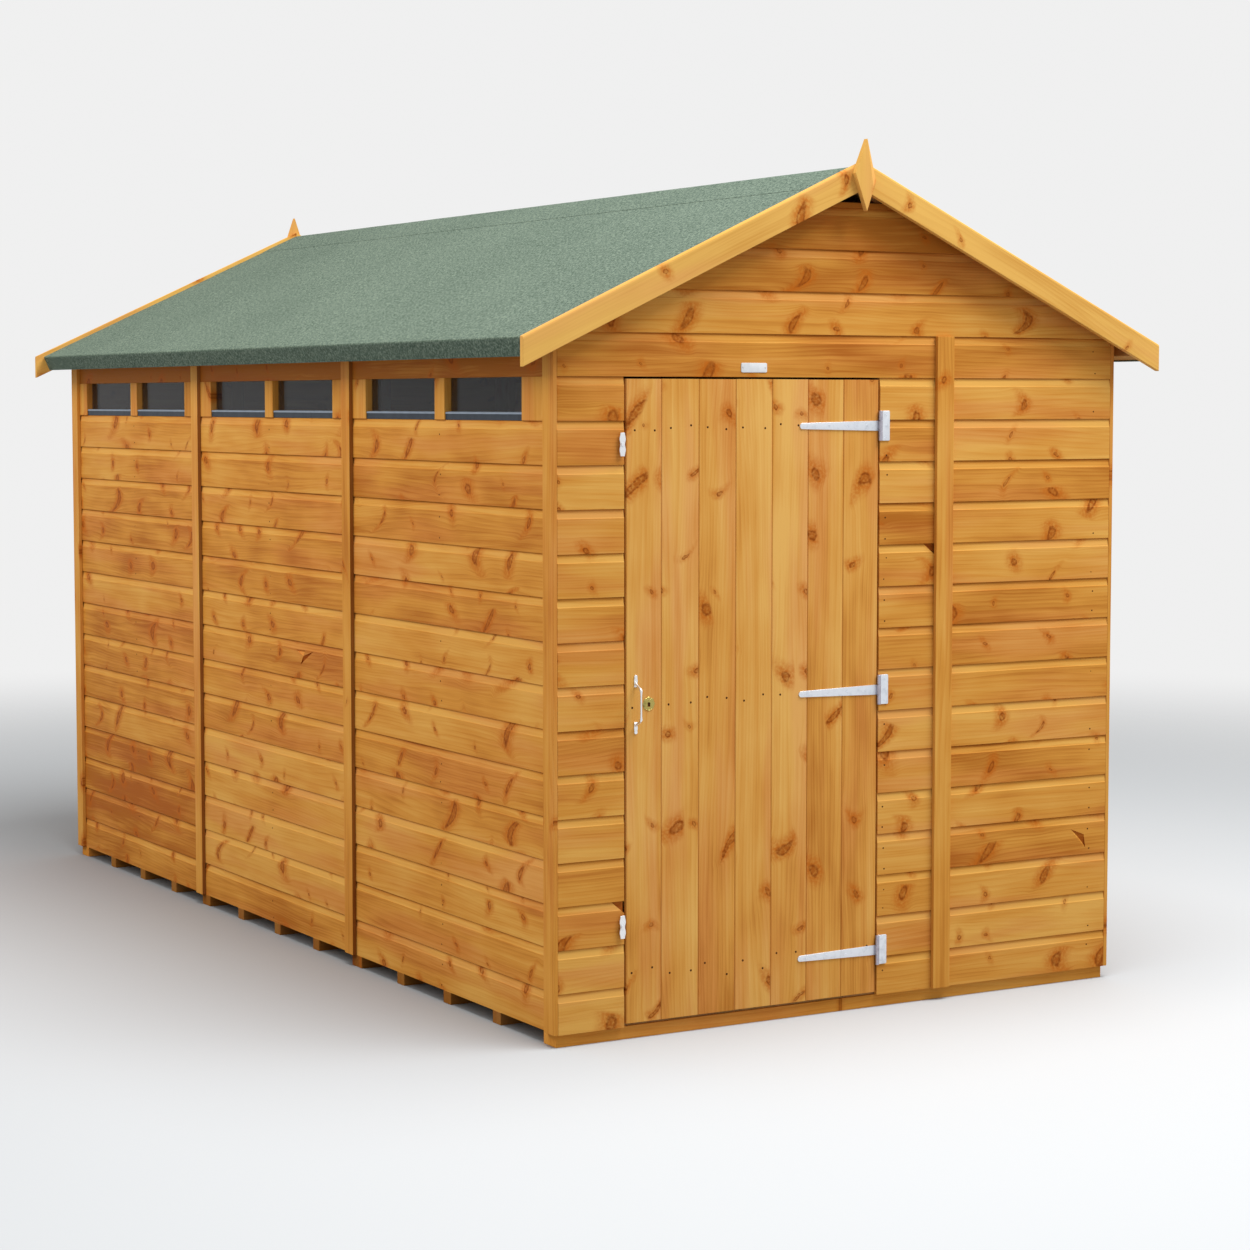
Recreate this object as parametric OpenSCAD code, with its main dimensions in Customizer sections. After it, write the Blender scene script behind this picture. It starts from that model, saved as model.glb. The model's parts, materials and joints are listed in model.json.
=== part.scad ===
// Apex garden shed of clad panels on a joisted floor, with a ledged door and a felted roof.
// Origin on the ground at the middle of the plan, front gable towards -Y, window wall towards -X.

/* [Walls] */
// Width over the cladding of the two side walls
wall_w = 1778; // [1600:1:2200]
// Height of the line over the door and the windows
head_h = 1707; // [1600:1:1900]
// Cover of one cladding board
board_cover = 112; // [95:1:130]
// Thickness of the cladding
cladding_t = 12; // [9:0.5:16]
// Depth of the framing, from the cladding inwards
frame_d = 28; // [22:1:45]
// Face width of the framing
frame_w = 40; // [30:1:50]
// Width of the corner post ahead of the front side panel
corner_post_w = 62; // [0:1:120]
// Width of the cladding beside the doorway on the latch side
latch_side_w = 195; // [140:1:300]
// Width of the cladding beside the doorway on the hinge side
hinge_side_w = 208.5; // [150:0.5:300]
// Gap between neighbouring panels, under the cover strip
panel_gap = 1; // [0.5:0.5:4]
// Width of a cover strip
strip_w = 56; // [40:1:80]
// Thickness of a cover strip
strip_t = 12; // [8:0.5:18]

/* [Floor] */
// Number of joists
joist_count = 13; // [9:4:17]
// Number of joists from one end joist to the next
joist_step = 4; // [2:1:6]
// Width of a joist
joist_w = 45; // [35:1:60]
// Width of a joist under a gable or a panel joint
end_joist_w = 66; // [50:1:80]
// Height of a joist
joist_h = 34; // [25:1:60]
// Thickness of the floor boards
floor_t = 12; // [10:0.5:22]
// Gap between the ends of the floor boards and the gable cladding
floor_gap = 6; // [5.5:0.5:10]

/* [Windows] */
// Width of one window opening
window_w = 442; // [300:1:600]
// Width of the mullion between a pair of windows
mullion_w = 60; // [40:1:80]
// Width of the post between a window and the edge of its panel
window_post_w = 115; // [80:1:160]
// Thickness of a pane
pane_t = 4; // [3:0.5:6]
// Depth from the face of the wall to the pane
pane_setback = 20; // [12:1:24]
// Height of the bead along the bottom of a pane
bead_h = 22; // [12:1:32]
// Depth from the face of the wall to the bead
bead_setback = 3; // [0:0.5:6]

/* [Roof] */
// Reach of the barge boards' ends beyond the side cladding
eaves_reach = 127; // [100:1:180]
// Distance of the felt's fold from the ends of the barge boards
eaves_inset = 26; // [15:1:40]
// Reach of the roof boards beyond the gable cladding
verge_reach = 42; // [25:1:90]
// Height of the barge boards' upper ends above the head line
eaves_rise = 98; // [90:1:130]
// Height of the barge boards' apex above those ends
ridge_rise = 470; // [400:1:600]
// Height of the barge boards' top edges above the felt
barge_rise = 13; // [6:1:18]
// Thickness of the roof boards
roof_board_t = 12; // [9:0.5:18]
// Thickness of the felt
felt_t = 2; // [1.5:0.5:4]
// Length of the felt turned down at the eaves, square to the slope
felt_drop = 53; // [45:1:65]
// Width of the ridge strip of felt on each slope
ridge_strip_w = 150; // [80:1:250]
// Width of the batten behind the turned-down felt
batten_w = 28; // [20:1:40]
// Length of felt that hangs below the batten's foot
batten_lift = 4; // [2:1:8]
// Width of a purlin
purlin_w = 34; // [25:1:50]
// Depth of a purlin
purlin_d = 58; // [45:1:80]
// Thickness of a barge board
barge_t = 16; // [12:0.5:22]
// Height of a barge board's upright cut end
barge_cut = 76; // [60:1:100]
// Gap between the gable cladding and the foot of the barge boards at the apex
apex_gap = 30; // [15:1:50]
// Width of a finial
finial_w = 74; // [50:1:95]
// Height of a finial's upper half
finial_top_h = 100; // [70:1:120]
// Height of a finial's lower half
finial_foot_h = 89; // [70:1:130]
// Height of a finial's left corner above its right one
finial_skew = 19; // [0:1:30]
// Thickness of a finial
finial_t = 16; // [12:0.5:22]
// Height of a finial's tip above the barge boards' apex
finial_rise = 56; // [40:1:75]

/* [Door] */
// Width of the door
door_w = 782; // [650:1:900]
// Gap round the door
door_gap = 5; // [5:0.5:8]
// Height of the door's foot above the cladding's foot
door_lift = 9; // [7:1:15]
// Height of a ledge across the back of the door
ledge_h = 92; // [70:1:120]
// Thickness of a ledge
ledge_t = 20; // [15:1:24]
// Distance of a ledge's ends from the door's edges
ledge_inset = 40; // [30:1:70]
// Distance of the upper ledge and hinge below the head line
hinge_drop = 128; // [100:1:200]
// Height of the lower ledge and hinge above the cladding's foot
hinge_lift = 125; // [90:1:200]

/* [Hinges] */
// Length of a strap from its tip to the pin
strap_l = 256; // [180:1:320]
// Height of a strap at its tip
strap_tip_h = 16; // [12:1:20]
// Thickness of the straps and plates
hinge_t = 3; // [2:0.5:4]
// Radius of the hinge pin
pin_r = 3; // [2:0.25:4]
// Running clearance round a pin
pin_clear = 0.05; // [0.02:0.01:0.09]
// Radius of a knuckle
knuckle_r = 5.5; // [5:0.25:6]
// Length of the middle knuckle, on the strap
knuckle_l = 28; // [20:1:34]
// Gap between neighbouring knuckles
knuckle_gap = 0.5; // [0.3:0.1:1]
// Gap between a knuckle and the face of the wall
knuckle_lift = 0.5; // [0.3:0.1:1]
// Width of a hinge plate, from the pin
plate_w = 33; // [28:1:45]
// Height of a hinge plate
plate_h = 80; // [64:1:100]

/* [Handle and buttons] */
// Distance of the handle from the door's free edge
handle_inset = 28; // [20:1:45]
// Length of the handle over its feet
handle_l = 152; // [120:1:180]
// Width of the handle
handle_w = 11; // [8:0.5:14]
// Distance of the grip's outer face from the door
handle_reach = 32; // [26:1:42]
// Thickness of the grip
handle_t = 6; // [4:0.5:8]
// Length of one foot of the handle
handle_foot_l = 32; // [24:1:40]
// Diameter of the keyhole plate
keyhole_d = 36; // [28:1:44]
// Thickness of the keyhole plate
keyhole_t = 2; // [1.5:0.5:3]
// Distance of the keyhole from the door's free edge
keyhole_inset = 67; // [60:1:90]
// Radius of the keyhole's round end
keyhole_r = 5; // [3:0.5:6]
// Length of a turn button
button_l = 60; // [48:1:72]
// Width of a turn button
button_w = 18; // [14:1:22]
// Thickness of a turn button
button_t = 3; // [2:0.5:4]
// Clearance of the buttons from the door, ahead of it and beside it
button_clear = 5.5; // [5.2:0.1:8]
// Distance of the upper button below the head line
button_drop = 172; // [140:1:220]
// Height of the lower button above the cladding's foot
button_lift = 263; // [200:1:330]
// Radius of a button's screw
screw_r = 2.5; // [2:0.25:3]
// Radius of a screw's head
screw_head_r = 5; // [4:0.25:6]
// Height of a screw's head
screw_head_h = 2; // [1.5:0.25:3]
// Play between a button and its screw, along the screw
button_play = 0.2; // [0.1:0.05:0.3]

/* [Hidden] */

$fn = 48;
// Overrun of every cut past the faces it opens
cut = 1;
// Clearance between upright wall tops and the sloping roof boards
roof_clear = 0.3;
// Clearance between sloping pieces that lie on each other
lay_clear = 0.05;

// Walls: planes, from the middle outwards
side_face = wall_w / 2;
side_back = side_face - cladding_t;
side_inner = side_back - frame_d;
side_panel_l = 2 * (window_post_w + window_w) + mullion_w;
gable_back = (3 * side_panel_l + corner_post_w) / 2;
gable_face = gable_back + cladding_t;
gable_inner = gable_back - frame_d;

// Walls: levels
cladding_foot = joist_h;
floor_top = joist_h + floor_t;
sill_h = head_h - board_cover;
gable_foot = head_h + board_cover;

// Roof: the slope and the levels that follow from it
roof_half = side_face + eaves_reach;
slope = ridge_rise / roof_half;
slope_angle = atan(slope);
slope_length_ratio = sqrt(1 + slope * slope);
ridge_h = head_h + eaves_rise + ridge_rise;
roof_end = gable_face + verge_reach;
barge_face = roof_end + barge_t;
felt_half = roof_half - eaves_inset;
felt_cut = felt_t * slope_length_ratio;
board_cut = roof_board_t * slope_length_ratio;
lay_cut = lay_clear * slope_length_ratio;
// Depth of the roof boards and of what carries them, square to the slope
boards_depth = felt_t + lay_clear;
bearers_depth = boards_depth + roof_board_t + lay_clear;
gable_top = ridge_h - barge_cut - apex_gap;
function roof_top(x) = ridge_h - barge_rise - slope * abs(x);
function felt_foot(x) = roof_top(x) - felt_cut;
function boards_top(x) = felt_foot(x) - lay_cut;
function boards_foot(x) = boards_top(x) - board_cut;
function bearers_top(x) = boards_foot(x) - lay_cut;
// A place by its distance up the slope from the felt's fold and its depth square to the slope
function eave(side, up, depth) =
    [side * (felt_half - up * cos(slope_angle) - depth * sin(slope_angle)),
     roof_top(felt_half) + up * sin(slope_angle) - depth * cos(slope_angle)];
rafter_cut = bearers_top(side_inner) - gable_foot;

// Side panels: middles and joints along Y
panel_middles = [for (i = [1, 0, -1]) corner_post_w / 2 + i * side_panel_l];
joint_rear = panel_middles[1] + side_panel_l / 2;
joint_front = panel_middles[1] - side_panel_l / 2;
rear_panel = [joint_rear + panel_gap / 2, gable_back];
middle_panel = [joint_front + panel_gap / 2, joint_rear - panel_gap / 2];
front_panel = [-gable_back, joint_front - panel_gap / 2];
side_panels = [rear_panel, middle_panel, front_panel];
window_offset = (mullion_w + window_w) / 2;

// Door: edges, opening and hinge line
opening_left = latch_side_w - side_face;
door_free_x = opening_left + door_gap;
door_hinged_x = door_free_x + door_w;
opening_right = door_hinged_x + door_gap;
gable_joint_x = opening_right + hinge_side_w + panel_gap / 2;
door_foot = cladding_foot + door_lift;
door_head = head_h - door_gap;
pin_x = door_hinged_x + door_gap / 2;
pin_y = -gable_face - knuckle_r - knuckle_lift;
upper_hinge_z = head_h - hinge_drop;
lower_hinge_z = cladding_foot + hinge_lift;
keyhole_z = (upper_hinge_z + lower_hinge_z) / 2;
hinge_levels = [upper_hinge_z, keyhole_z, lower_hinge_z];
handle_x = door_free_x + handle_inset;
keyhole_x = door_free_x + keyhole_inset;
button_x = door_free_x - button_clear - button_w / 2;
button_back = gable_face + button_clear;
upper_button_z = head_h - button_drop;
lower_button_z = cladding_foot + button_lift;
// Lobes of a turn button, from its screw outwards: radius and place
button_lobe_shares = [1, 0.96, 0.96];
button_place_shares = [0, 0.5, 1];
// Width of the straight bar that joins the lobes
button_bar_share = 0.8;

module box(low, high) {
    translate(low) cube(high - low);
}

// An outline drawn in X and Z, drawn out along Y from one place to another
module along_y(from, to) {
    translate([0, to, 0]) rotate([90, 0, 0]) linear_extrude(to - from) children();
}

module side_slab(side, span, foot, top) {
    low_x = side > 0 ? side_back : -side_face;
    box([low_x, span[0], foot], [low_x + cladding_t, span[1], top]);
}

module gable_slab(end, span, foot, top) {
    low_y = end > 0 ? gable_back : -gable_face;
    box([span[0], low_y, foot], [span[1], low_y + cladding_t, top]);
}

module side_frame_box(side, span, foot, top) {
    low_x = side > 0 ? side_inner : -side_back;
    box([low_x, span[0], foot], [low_x + frame_d, span[1], top]);
}

module gable_frame_box(end, span, foot, top) {
    low_y = end > 0 ? gable_inner : -gable_back;
    box([span[0], low_y, foot], [span[1], low_y + frame_d, top]);
}

// Floor

module floor_joists() {
    pitch = (2 * gable_back - end_joist_w) / (joist_count - 1);
    color("peru")
        for (i = [0 : joist_count - 1]) {
            middle = end_joist_w / 2 - gable_back + i * pitch;
            half = (i % joist_step == 0 ? end_joist_w : joist_w) / 2;
            box([-side_face, middle - half, 0], [side_face, middle + half, joist_h]);
        }
}

module floor_boards() {
    color("burlywood")
        box([-side_back, floor_gap - gable_back, joist_h], [side_back, gable_back - floor_gap, floor_top]);
}

// Side walls

wall_top = boards_foot(side_face) - roof_clear;
plate_top = boards_foot(side_back) - roof_clear;

module left_wall(span) {
    color("peru") side_slab(-1, span, cladding_foot, sill_h);
}

module right_wall(span) {
    color("peru") side_slab(1, span, cladding_foot, wall_top);
}

module left_window_heads() {
    color("peru") for (span = side_panels) side_slab(-1, span, head_h, wall_top);
}

module left_window_posts() {
    color("chocolate")
        for (i = [0 : 2]) {
            middle = panel_middles[i];
            outer = mullion_w / 2 + window_w;
            for (span = [[side_panels[i][0], middle - outer],
                         [middle - mullion_w / 2, middle + mullion_w / 2],
                         [middle + outer, side_panels[i][1]]])
                box([-side_face, span[0], sill_h], [-side_inner, span[1], head_h]);
        }
}

module at_windows() {
    for (middle = panel_middles, side = [-1, 1])
        translate([-side_face, middle + side * window_offset, sill_h]) children();
}

module window_panes() {
    color("slategray", 0.5)
        at_windows() box([pane_setback, -window_w / 2, 0],
                         [pane_setback + pane_t, window_w / 2, board_cover]);
}

module window_beads() {
    color("gainsboro")
        at_windows() box([bead_setback, -window_w / 2, 0],
                         [pane_setback, window_w / 2, bead_h]);
}

module side_rails(side, feet) {
    for (foot = feet)
        side_frame_box(side, [-gable_back, gable_back], foot, foot + frame_w);
}

// Three studs a panel, the outer ones at its joints
module side_studs(side, foot, top) {
    for (i = [0 : 2]) {
        span = side_panels[i];
        middle = panel_middles[i];
        for (low = [span[0], middle - frame_w / 2, span[1] - frame_w])
            side_frame_box(side, [low, low + frame_w], foot, top);
    }
}

module left_rails() {
    color("tan") side_rails(-1, [floor_top, sill_h - frame_w, head_h, plate_top - frame_w]);
}

module left_studs() {
    color("tan") side_studs(-1, floor_top + frame_w, sill_h - frame_w);
}

module right_rails() {
    color("tan") side_rails(1, [floor_top, plate_top - frame_w]);
}

module right_studs() {
    color("tan") side_studs(1, floor_top + frame_w, plate_top - frame_w);
}

// Gable walls

wide_panel = [-side_face, gable_joint_x - panel_gap / 2];
narrow_panel = [gable_joint_x + panel_gap / 2, side_face];

module front_latch_side() {
    color("peru") gable_slab(-1, [-side_face, opening_left], cladding_foot, head_h);
}

module front_hinge_side() {
    color("peru") gable_slab(-1, [opening_right, wide_panel[1]], cladding_foot, head_h);
}

module front_door_head() {
    color("peru") gable_slab(-1, wide_panel, head_h, gable_foot);
}

module front_narrow_panel() {
    color("peru") gable_slab(-1, narrow_panel, cladding_foot, gable_foot);
}

module back_wide_panel() {
    color("peru") gable_slab(1, wide_panel, cladding_foot, gable_foot);
}

module back_narrow_panel() {
    color("peru") gable_slab(1, narrow_panel, cladding_foot, gable_foot);
}

// Boards over the wall's head, cut to the roof and flat below the apex
module gable_boards(end) {
    top_half = (boards_foot(0) - gable_top) / slope;
    low_y = end > 0 ? gable_back : -gable_face;
    along_y(low_y, low_y + cladding_t)
        polygon([[-side_face, gable_foot], [side_face, gable_foot], [side_face, wall_top],
                 [top_half, gable_top - roof_clear], [-top_half, gable_top - roof_clear],
                 [-side_face, wall_top]]);
}

module front_gable() {
    color("peru") gable_boards(-1);
}

module back_gable() {
    color("peru") gable_boards(1);
}

left_bay = [-side_inner, wide_panel[1]];
right_bay = [narrow_panel[0], side_inner];

module front_rails() {
    foot_top = floor_top + frame_w;
    color("tan") {
        gable_frame_box(-1, [left_bay[0], opening_left], floor_top, foot_top);
        gable_frame_box(-1, [opening_right, left_bay[1]], floor_top, foot_top);
        gable_frame_box(-1, right_bay, floor_top, foot_top);
        gable_frame_box(-1, left_bay, gable_foot - frame_w, gable_foot);
        gable_frame_box(-1, right_bay, gable_foot - frame_w, gable_foot);
    }
}

module front_studs() {
    color("tan")
        for (low = [left_bay[0], opening_left - frame_w, opening_right, left_bay[1] - frame_w,
                    right_bay[0], right_bay[1] - frame_w])
            gable_frame_box(-1, [low, low + frame_w], floor_top + frame_w, gable_foot - frame_w);
}

module back_rails() {
    color("tan")
        for (bay = [left_bay, right_bay], foot = [floor_top, gable_foot - frame_w])
            gable_frame_box(1, bay, foot, foot + frame_w);
}

module back_studs() {
    middle = (left_bay[0] + left_bay[1] - frame_w) / 2;
    color("tan")
        for (low = [left_bay[0], middle, left_bay[1] - frame_w, right_bay[0], right_bay[1] - frame_w])
            gable_frame_box(1, [low, low + frame_w], floor_top + frame_w, gable_foot - frame_w);
}

// Roof

// A sloping layer of the roof between two heights at the middle, out to a distance on one side
module slope_layer(side, reach, top, foot) {
    polygon([[0, foot], [0, top], [side * reach, top - slope * reach], [side * reach, foot - slope * reach]]);
}

module rafters(side) {
    color("tan")
        for (low_y = [-gable_back, gable_inner])
            along_y(low_y, low_y + frame_d)
                slope_layer(side, side_inner, bearers_top(0), bearers_top(0) - rafter_cut);
}

module left_rafters() {
    rafters(-1);
}

module right_rafters() {
    rafters(1);
}

// One bearer under the middle of each slope, square to the boards
module purlins() {
    color("tan")
        for (side = [-1, 1])
            translate([side * side_inner / 2, 0, bearers_top(side_inner / 2)])
                rotate([0, side * slope_angle, 0])
                    box([-purlin_w / 2, -gable_inner, -purlin_d], [purlin_w / 2, gable_inner, 0]);
}

module eaves_battens() {
    foot = felt_drop - batten_lift;
    inner = boards_depth + batten_w;
    color("tan")
        for (side = [-1, 1])
            along_y(-roof_end, roof_end)
                polygon([eave(side, boards_depth, bearers_depth), eave(side, boards_depth, foot),
                         eave(side, inner, foot), eave(side, inner, bearers_depth)]);
}

module roof_boards(side) {
    color("burlywood")
        along_y(-roof_end, roof_end)
            polygon([[0, boards_foot(0)], [0, boards_top(0)], eave(side, boards_depth, boards_depth),
                     eave(side, boards_depth, boards_depth + roof_board_t)]);
}

module left_roof_boards() {
    roof_boards(-1);
}

module right_roof_boards() {
    roof_boards(1);
}

// One sheet down the slope and over the square edge of the eaves
module felt(side) {
    color("darkseagreen")
        along_y(-roof_end, roof_end)
            polygon([[0, felt_foot(0)], [0, roof_top(0)], eave(side, 0, 0), eave(side, 0, felt_drop),
                     eave(side, felt_t, felt_drop), eave(side, felt_t, felt_t)]);
}

module left_felt() {
    felt(-1);
}

module right_felt() {
    felt(1);
}

module ridge_felt() {
    reach = ridge_strip_w / slope_length_ratio;
    edge = roof_top(reach) + lay_cut;
    peak = roof_top(0) + lay_cut;
    color("darkseagreen")
        along_y(-roof_end, roof_end)
            polygon([[-reach, edge], [-reach, edge + felt_cut], [0, peak + felt_cut],
                     [reach, edge + felt_cut], [reach, edge], [0, peak]]);
}

module barge_boards(side) {
    color("goldenrod")
        for (low_y = [-barge_face, roof_end])
            along_y(low_y, low_y + barge_t)
                slope_layer(side, roof_half, ridge_h, ridge_h - barge_cut);
}

module left_barge_boards() {
    barge_boards(-1);
}

module right_barge_boards() {
    barge_boards(1);
}

module finials() {
    tip = ridge_h + finial_rise;
    waist = tip - finial_top_h;
    color("goldenrod")
        for (low_y = [-barge_face - finial_t, barge_face])
            along_y(low_y, low_y + finial_t)
                polygon([[0, tip], [finial_w / 2, waist - finial_skew / 2], [0, waist - finial_foot_h],
                         [-finial_w / 2, waist + finial_skew / 2]]);
}

// Cover strips

strip_top = boards_foot(side_face + strip_t) - roof_clear;

module side_cover_strips() {
    color("peru")
        for (side = [-1, 1],
             low_y = [-gable_face, joint_front - strip_w / 2, joint_rear - strip_w / 2, gable_face - strip_w]) {
            low_x = side > 0 ? side_face : -side_face - strip_t;
            box([low_x, low_y, cladding_foot], [low_x + strip_t, low_y + strip_w, strip_top]);
        }
}

module gable_cover_strips() {
    low_x = gable_joint_x - strip_w / 2;
    color("peru")
        for (low_y = [-gable_face - strip_t, gable_face])
            box([low_x, low_y, cladding_foot], [low_x + strip_w, low_y + strip_t, gable_foot]);
}

// Door

module door_leaf() {
    color("sandybrown")
        box([door_free_x, -gable_face, door_foot], [door_hinged_x, -gable_back, door_head]);
}

module door_ledges() {
    color("sandybrown")
        for (level = hinge_levels)
            box([door_free_x + ledge_inset, -gable_back, level - ledge_h / 2],
                [door_hinged_x - ledge_inset, ledge_t - gable_back, level + ledge_h / 2]);
}

// Long tapered leaf on the door, rolled round the pin at its root
module hinge_straps() {
    tip_x = pin_x - strap_l + strap_tip_h / 2;
    color("gainsboro")
        for (level = hinge_levels)
            translate([0, 0, level])
                difference() {
                    union() {
                        along_y(-gable_face - hinge_t, -gable_face) {
                            polygon([[tip_x, -strap_tip_h / 2], [pin_x, -knuckle_l / 2],
                                     [pin_x, knuckle_l / 2], [tip_x, strap_tip_h / 2]]);
                            translate([tip_x, 0]) circle(strap_tip_h / 2);
                        }
                        translate([pin_x, pin_y, -knuckle_l / 2]) cylinder(r = knuckle_r, h = knuckle_l);
                    }
                    translate([pin_x, pin_y, -knuckle_l / 2 - cut])
                        cylinder(r = pin_r + pin_clear, h = knuckle_l + 2 * cut);
                }
}

// Upright leaf on the wall, with the pin and the two outer knuckles
module hinge_plates() {
    root = knuckle_l / 2 + knuckle_gap;
    inner_x = pin_x + knuckle_r + knuckle_gap;
    color("gainsboro")
        for (level = hinge_levels)
            translate([0, 0, level]) {
                along_y(-gable_face - hinge_t, -gable_face)
                    polygon([[inner_x, -root], [pin_x, -root], [pin_x, -plate_h / 2],
                             [pin_x + plate_w, -plate_h / 2], [pin_x + plate_w, plate_h / 2],
                             [pin_x, plate_h / 2], [pin_x, root], [inner_x, root]]);
                for (foot = [-plate_h / 2, root])
                    translate([pin_x, pin_y, foot]) cylinder(r = knuckle_r, h = plate_h / 2 - root);
                translate([pin_x, pin_y, -plate_h / 2]) cylinder(r = pin_r, h = plate_h);
            }
}

// Bow pull of flat bar on two screwed feet
module door_handle() {
    foot = handle_l / 2;
    shoulder = foot - handle_foot_l;
    grip = shoulder / 2;
    reach = handle_reach - handle_t;
    color("gainsboro")
        translate([handle_x - handle_w / 2, -gable_face, keyhole_z])
            rotate([90, 0, 90])
                linear_extrude(handle_w)
                    polygon([[0, -foot], [0, -shoulder], [-reach, -grip], [-reach, grip], [0, shoulder], [0, foot],
                             [-handle_t, foot], [-handle_t, shoulder + handle_t / 2],
                             [-handle_reach, grip + handle_t / 2], [-handle_reach, -grip - handle_t / 2],
                             [-handle_t, -shoulder - handle_t / 2], [-handle_t, -foot]]);
}

module keyhole_plate() {
    color("goldenrod")
        translate([keyhole_x, 0, keyhole_z])
            along_y(-gable_face - keyhole_t, -gable_face)
                difference() {
                    circle(keyhole_d / 2);
                    circle(keyhole_r);
                    translate([-keyhole_r / 2, -2 * keyhole_r]) square([keyhole_r, 2 * keyhole_r]);
                }
}

// Double-ended button of three lobes either side of its screw
module turn_button(level) {
    end_place = (button_l - button_lobe_shares[2] * button_w) / 2;
    color("gainsboro")
        translate([button_x, 0, level])
            along_y(-button_back - button_t, -button_back)
                difference() {
                    union() {
                        for (i = [0 : 2], end = [-1, 1])
                            translate([0, end * button_place_shares[i] * end_place])
                                circle(button_lobe_shares[i] * button_w / 2);
                        square([button_bar_share * button_w, button_l], center = true);
                    }
                    circle(screw_r + pin_clear);
                }
}

module upper_turn_button() {
    turn_button(upper_button_z);
}

module lower_turn_button() {
    turn_button(lower_button_z);
}

// Spacer, shank and head that carry each button
module button_screws() {
    shank = button_clear + button_t + button_play;
    color("silver")
        for (level = [upper_button_z, lower_button_z])
            translate([button_x, -gable_face, level]) rotate([90, 0, 0]) {
                cylinder(r = screw_head_r, h = button_clear - button_play);
                cylinder(r = screw_r, h = shank + screw_head_h);
                translate([0, 0, shank]) cylinder(r = screw_head_r, h = screw_head_h);
            }
}

floor_joists();
floor_boards();
left_wall(rear_panel);  // left_wall_rear
left_wall(middle_panel);  // left_wall_middle
left_wall(front_panel);  // left_wall_front
left_window_heads();
left_window_posts();
window_panes();
window_beads();
right_wall(rear_panel);  // right_wall_rear
right_wall(middle_panel);  // right_wall_middle
right_wall(front_panel);  // right_wall_front
front_latch_side();
front_hinge_side();
front_door_head();
front_narrow_panel();
front_gable();
back_wide_panel();
back_narrow_panel();
back_gable();
left_rails();
left_studs();
right_rails();
right_studs();
front_rails();
front_studs();
back_rails();
back_studs();
left_rafters();
right_rafters();
purlins();
eaves_battens();
left_roof_boards();
right_roof_boards();
left_felt();
right_felt();
ridge_felt();
left_barge_boards();
right_barge_boards();
finials();
side_cover_strips();
gable_cover_strips();
door_leaf();
door_ledges();
hinge_straps();
hinge_plates();
door_handle();
keyhole_plate();
upper_turn_button();
lower_turn_button();
button_screws();
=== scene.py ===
"""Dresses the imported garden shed: boards, felt, ironwork, glass and a studio stage."""
import json
import math
import random

import bmesh
import bpy
from bpy.props import FloatProperty, FloatVectorProperty, IntProperty, PointerProperty
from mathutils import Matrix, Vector, noise


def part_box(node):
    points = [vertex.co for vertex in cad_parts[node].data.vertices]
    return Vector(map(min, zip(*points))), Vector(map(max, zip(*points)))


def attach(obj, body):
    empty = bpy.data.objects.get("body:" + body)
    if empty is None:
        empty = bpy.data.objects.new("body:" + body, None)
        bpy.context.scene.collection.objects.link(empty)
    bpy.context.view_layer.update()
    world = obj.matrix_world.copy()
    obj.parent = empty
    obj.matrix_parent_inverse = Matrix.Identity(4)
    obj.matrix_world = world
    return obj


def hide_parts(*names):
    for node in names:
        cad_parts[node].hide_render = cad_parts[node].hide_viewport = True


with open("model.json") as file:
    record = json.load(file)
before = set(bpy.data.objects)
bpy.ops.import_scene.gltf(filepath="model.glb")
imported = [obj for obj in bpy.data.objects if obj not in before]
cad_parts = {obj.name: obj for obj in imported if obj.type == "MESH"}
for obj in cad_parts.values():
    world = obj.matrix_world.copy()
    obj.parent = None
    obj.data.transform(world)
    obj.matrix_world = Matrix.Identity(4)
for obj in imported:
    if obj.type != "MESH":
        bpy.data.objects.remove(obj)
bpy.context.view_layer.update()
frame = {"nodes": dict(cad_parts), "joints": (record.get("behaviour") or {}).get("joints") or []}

bl_info = {
    "name": "Garden Shed",
    "version": (1, 0, 0),
    "blender": (4, 5, 0),
    "location": "View3D > Sidebar > Shed",
    "description": "Boards, roofing felt, ironwork and glass over the packed shed",
    "category": "Object",
}

MM = 0.001
UP = Vector((0, 0, 1))

# Along the boards of each wall, as seen from outside
FRONT = Vector((1, 0, 0))
BACK = Vector((-1, 0, 0))
LEFT = Vector((0, -1, 0))
RIGHT = Vector((0, 1, 0))


def length(label, words, size):
    """A length that a user would change."""
    return FloatProperty(name=label, description=words, default=size, min=0, unit="LENGTH", precision=4)


def share(label, words, size):
    """A part of a whole, from nothing to all of it."""
    return FloatProperty(name=label, description=words, default=size, min=0, max=1, subtype="FACTOR")


def colour(label, words, red, green, blue):
    """A colour of a finish."""
    return FloatVectorProperty(name=label, description=words, default=(red, green, blue), min=0, max=1,
                               subtype="COLOR", size=3)


def power(label, words, watts):
    """The power of a lamp."""
    return FloatProperty(name=label, description=words, default=watts, min=0, unit="POWER")


def position(label, words, x, y, z):
    """A place on the stage."""
    return FloatVectorProperty(name=label, description=words, default=(x, y, z), subtype="XYZ", unit="LENGTH")


def angle(label, words, degrees):
    """A turn of the camera."""
    return FloatProperty(name=label, description=words, default=math.radians(degrees), subtype="ANGLE")


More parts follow.
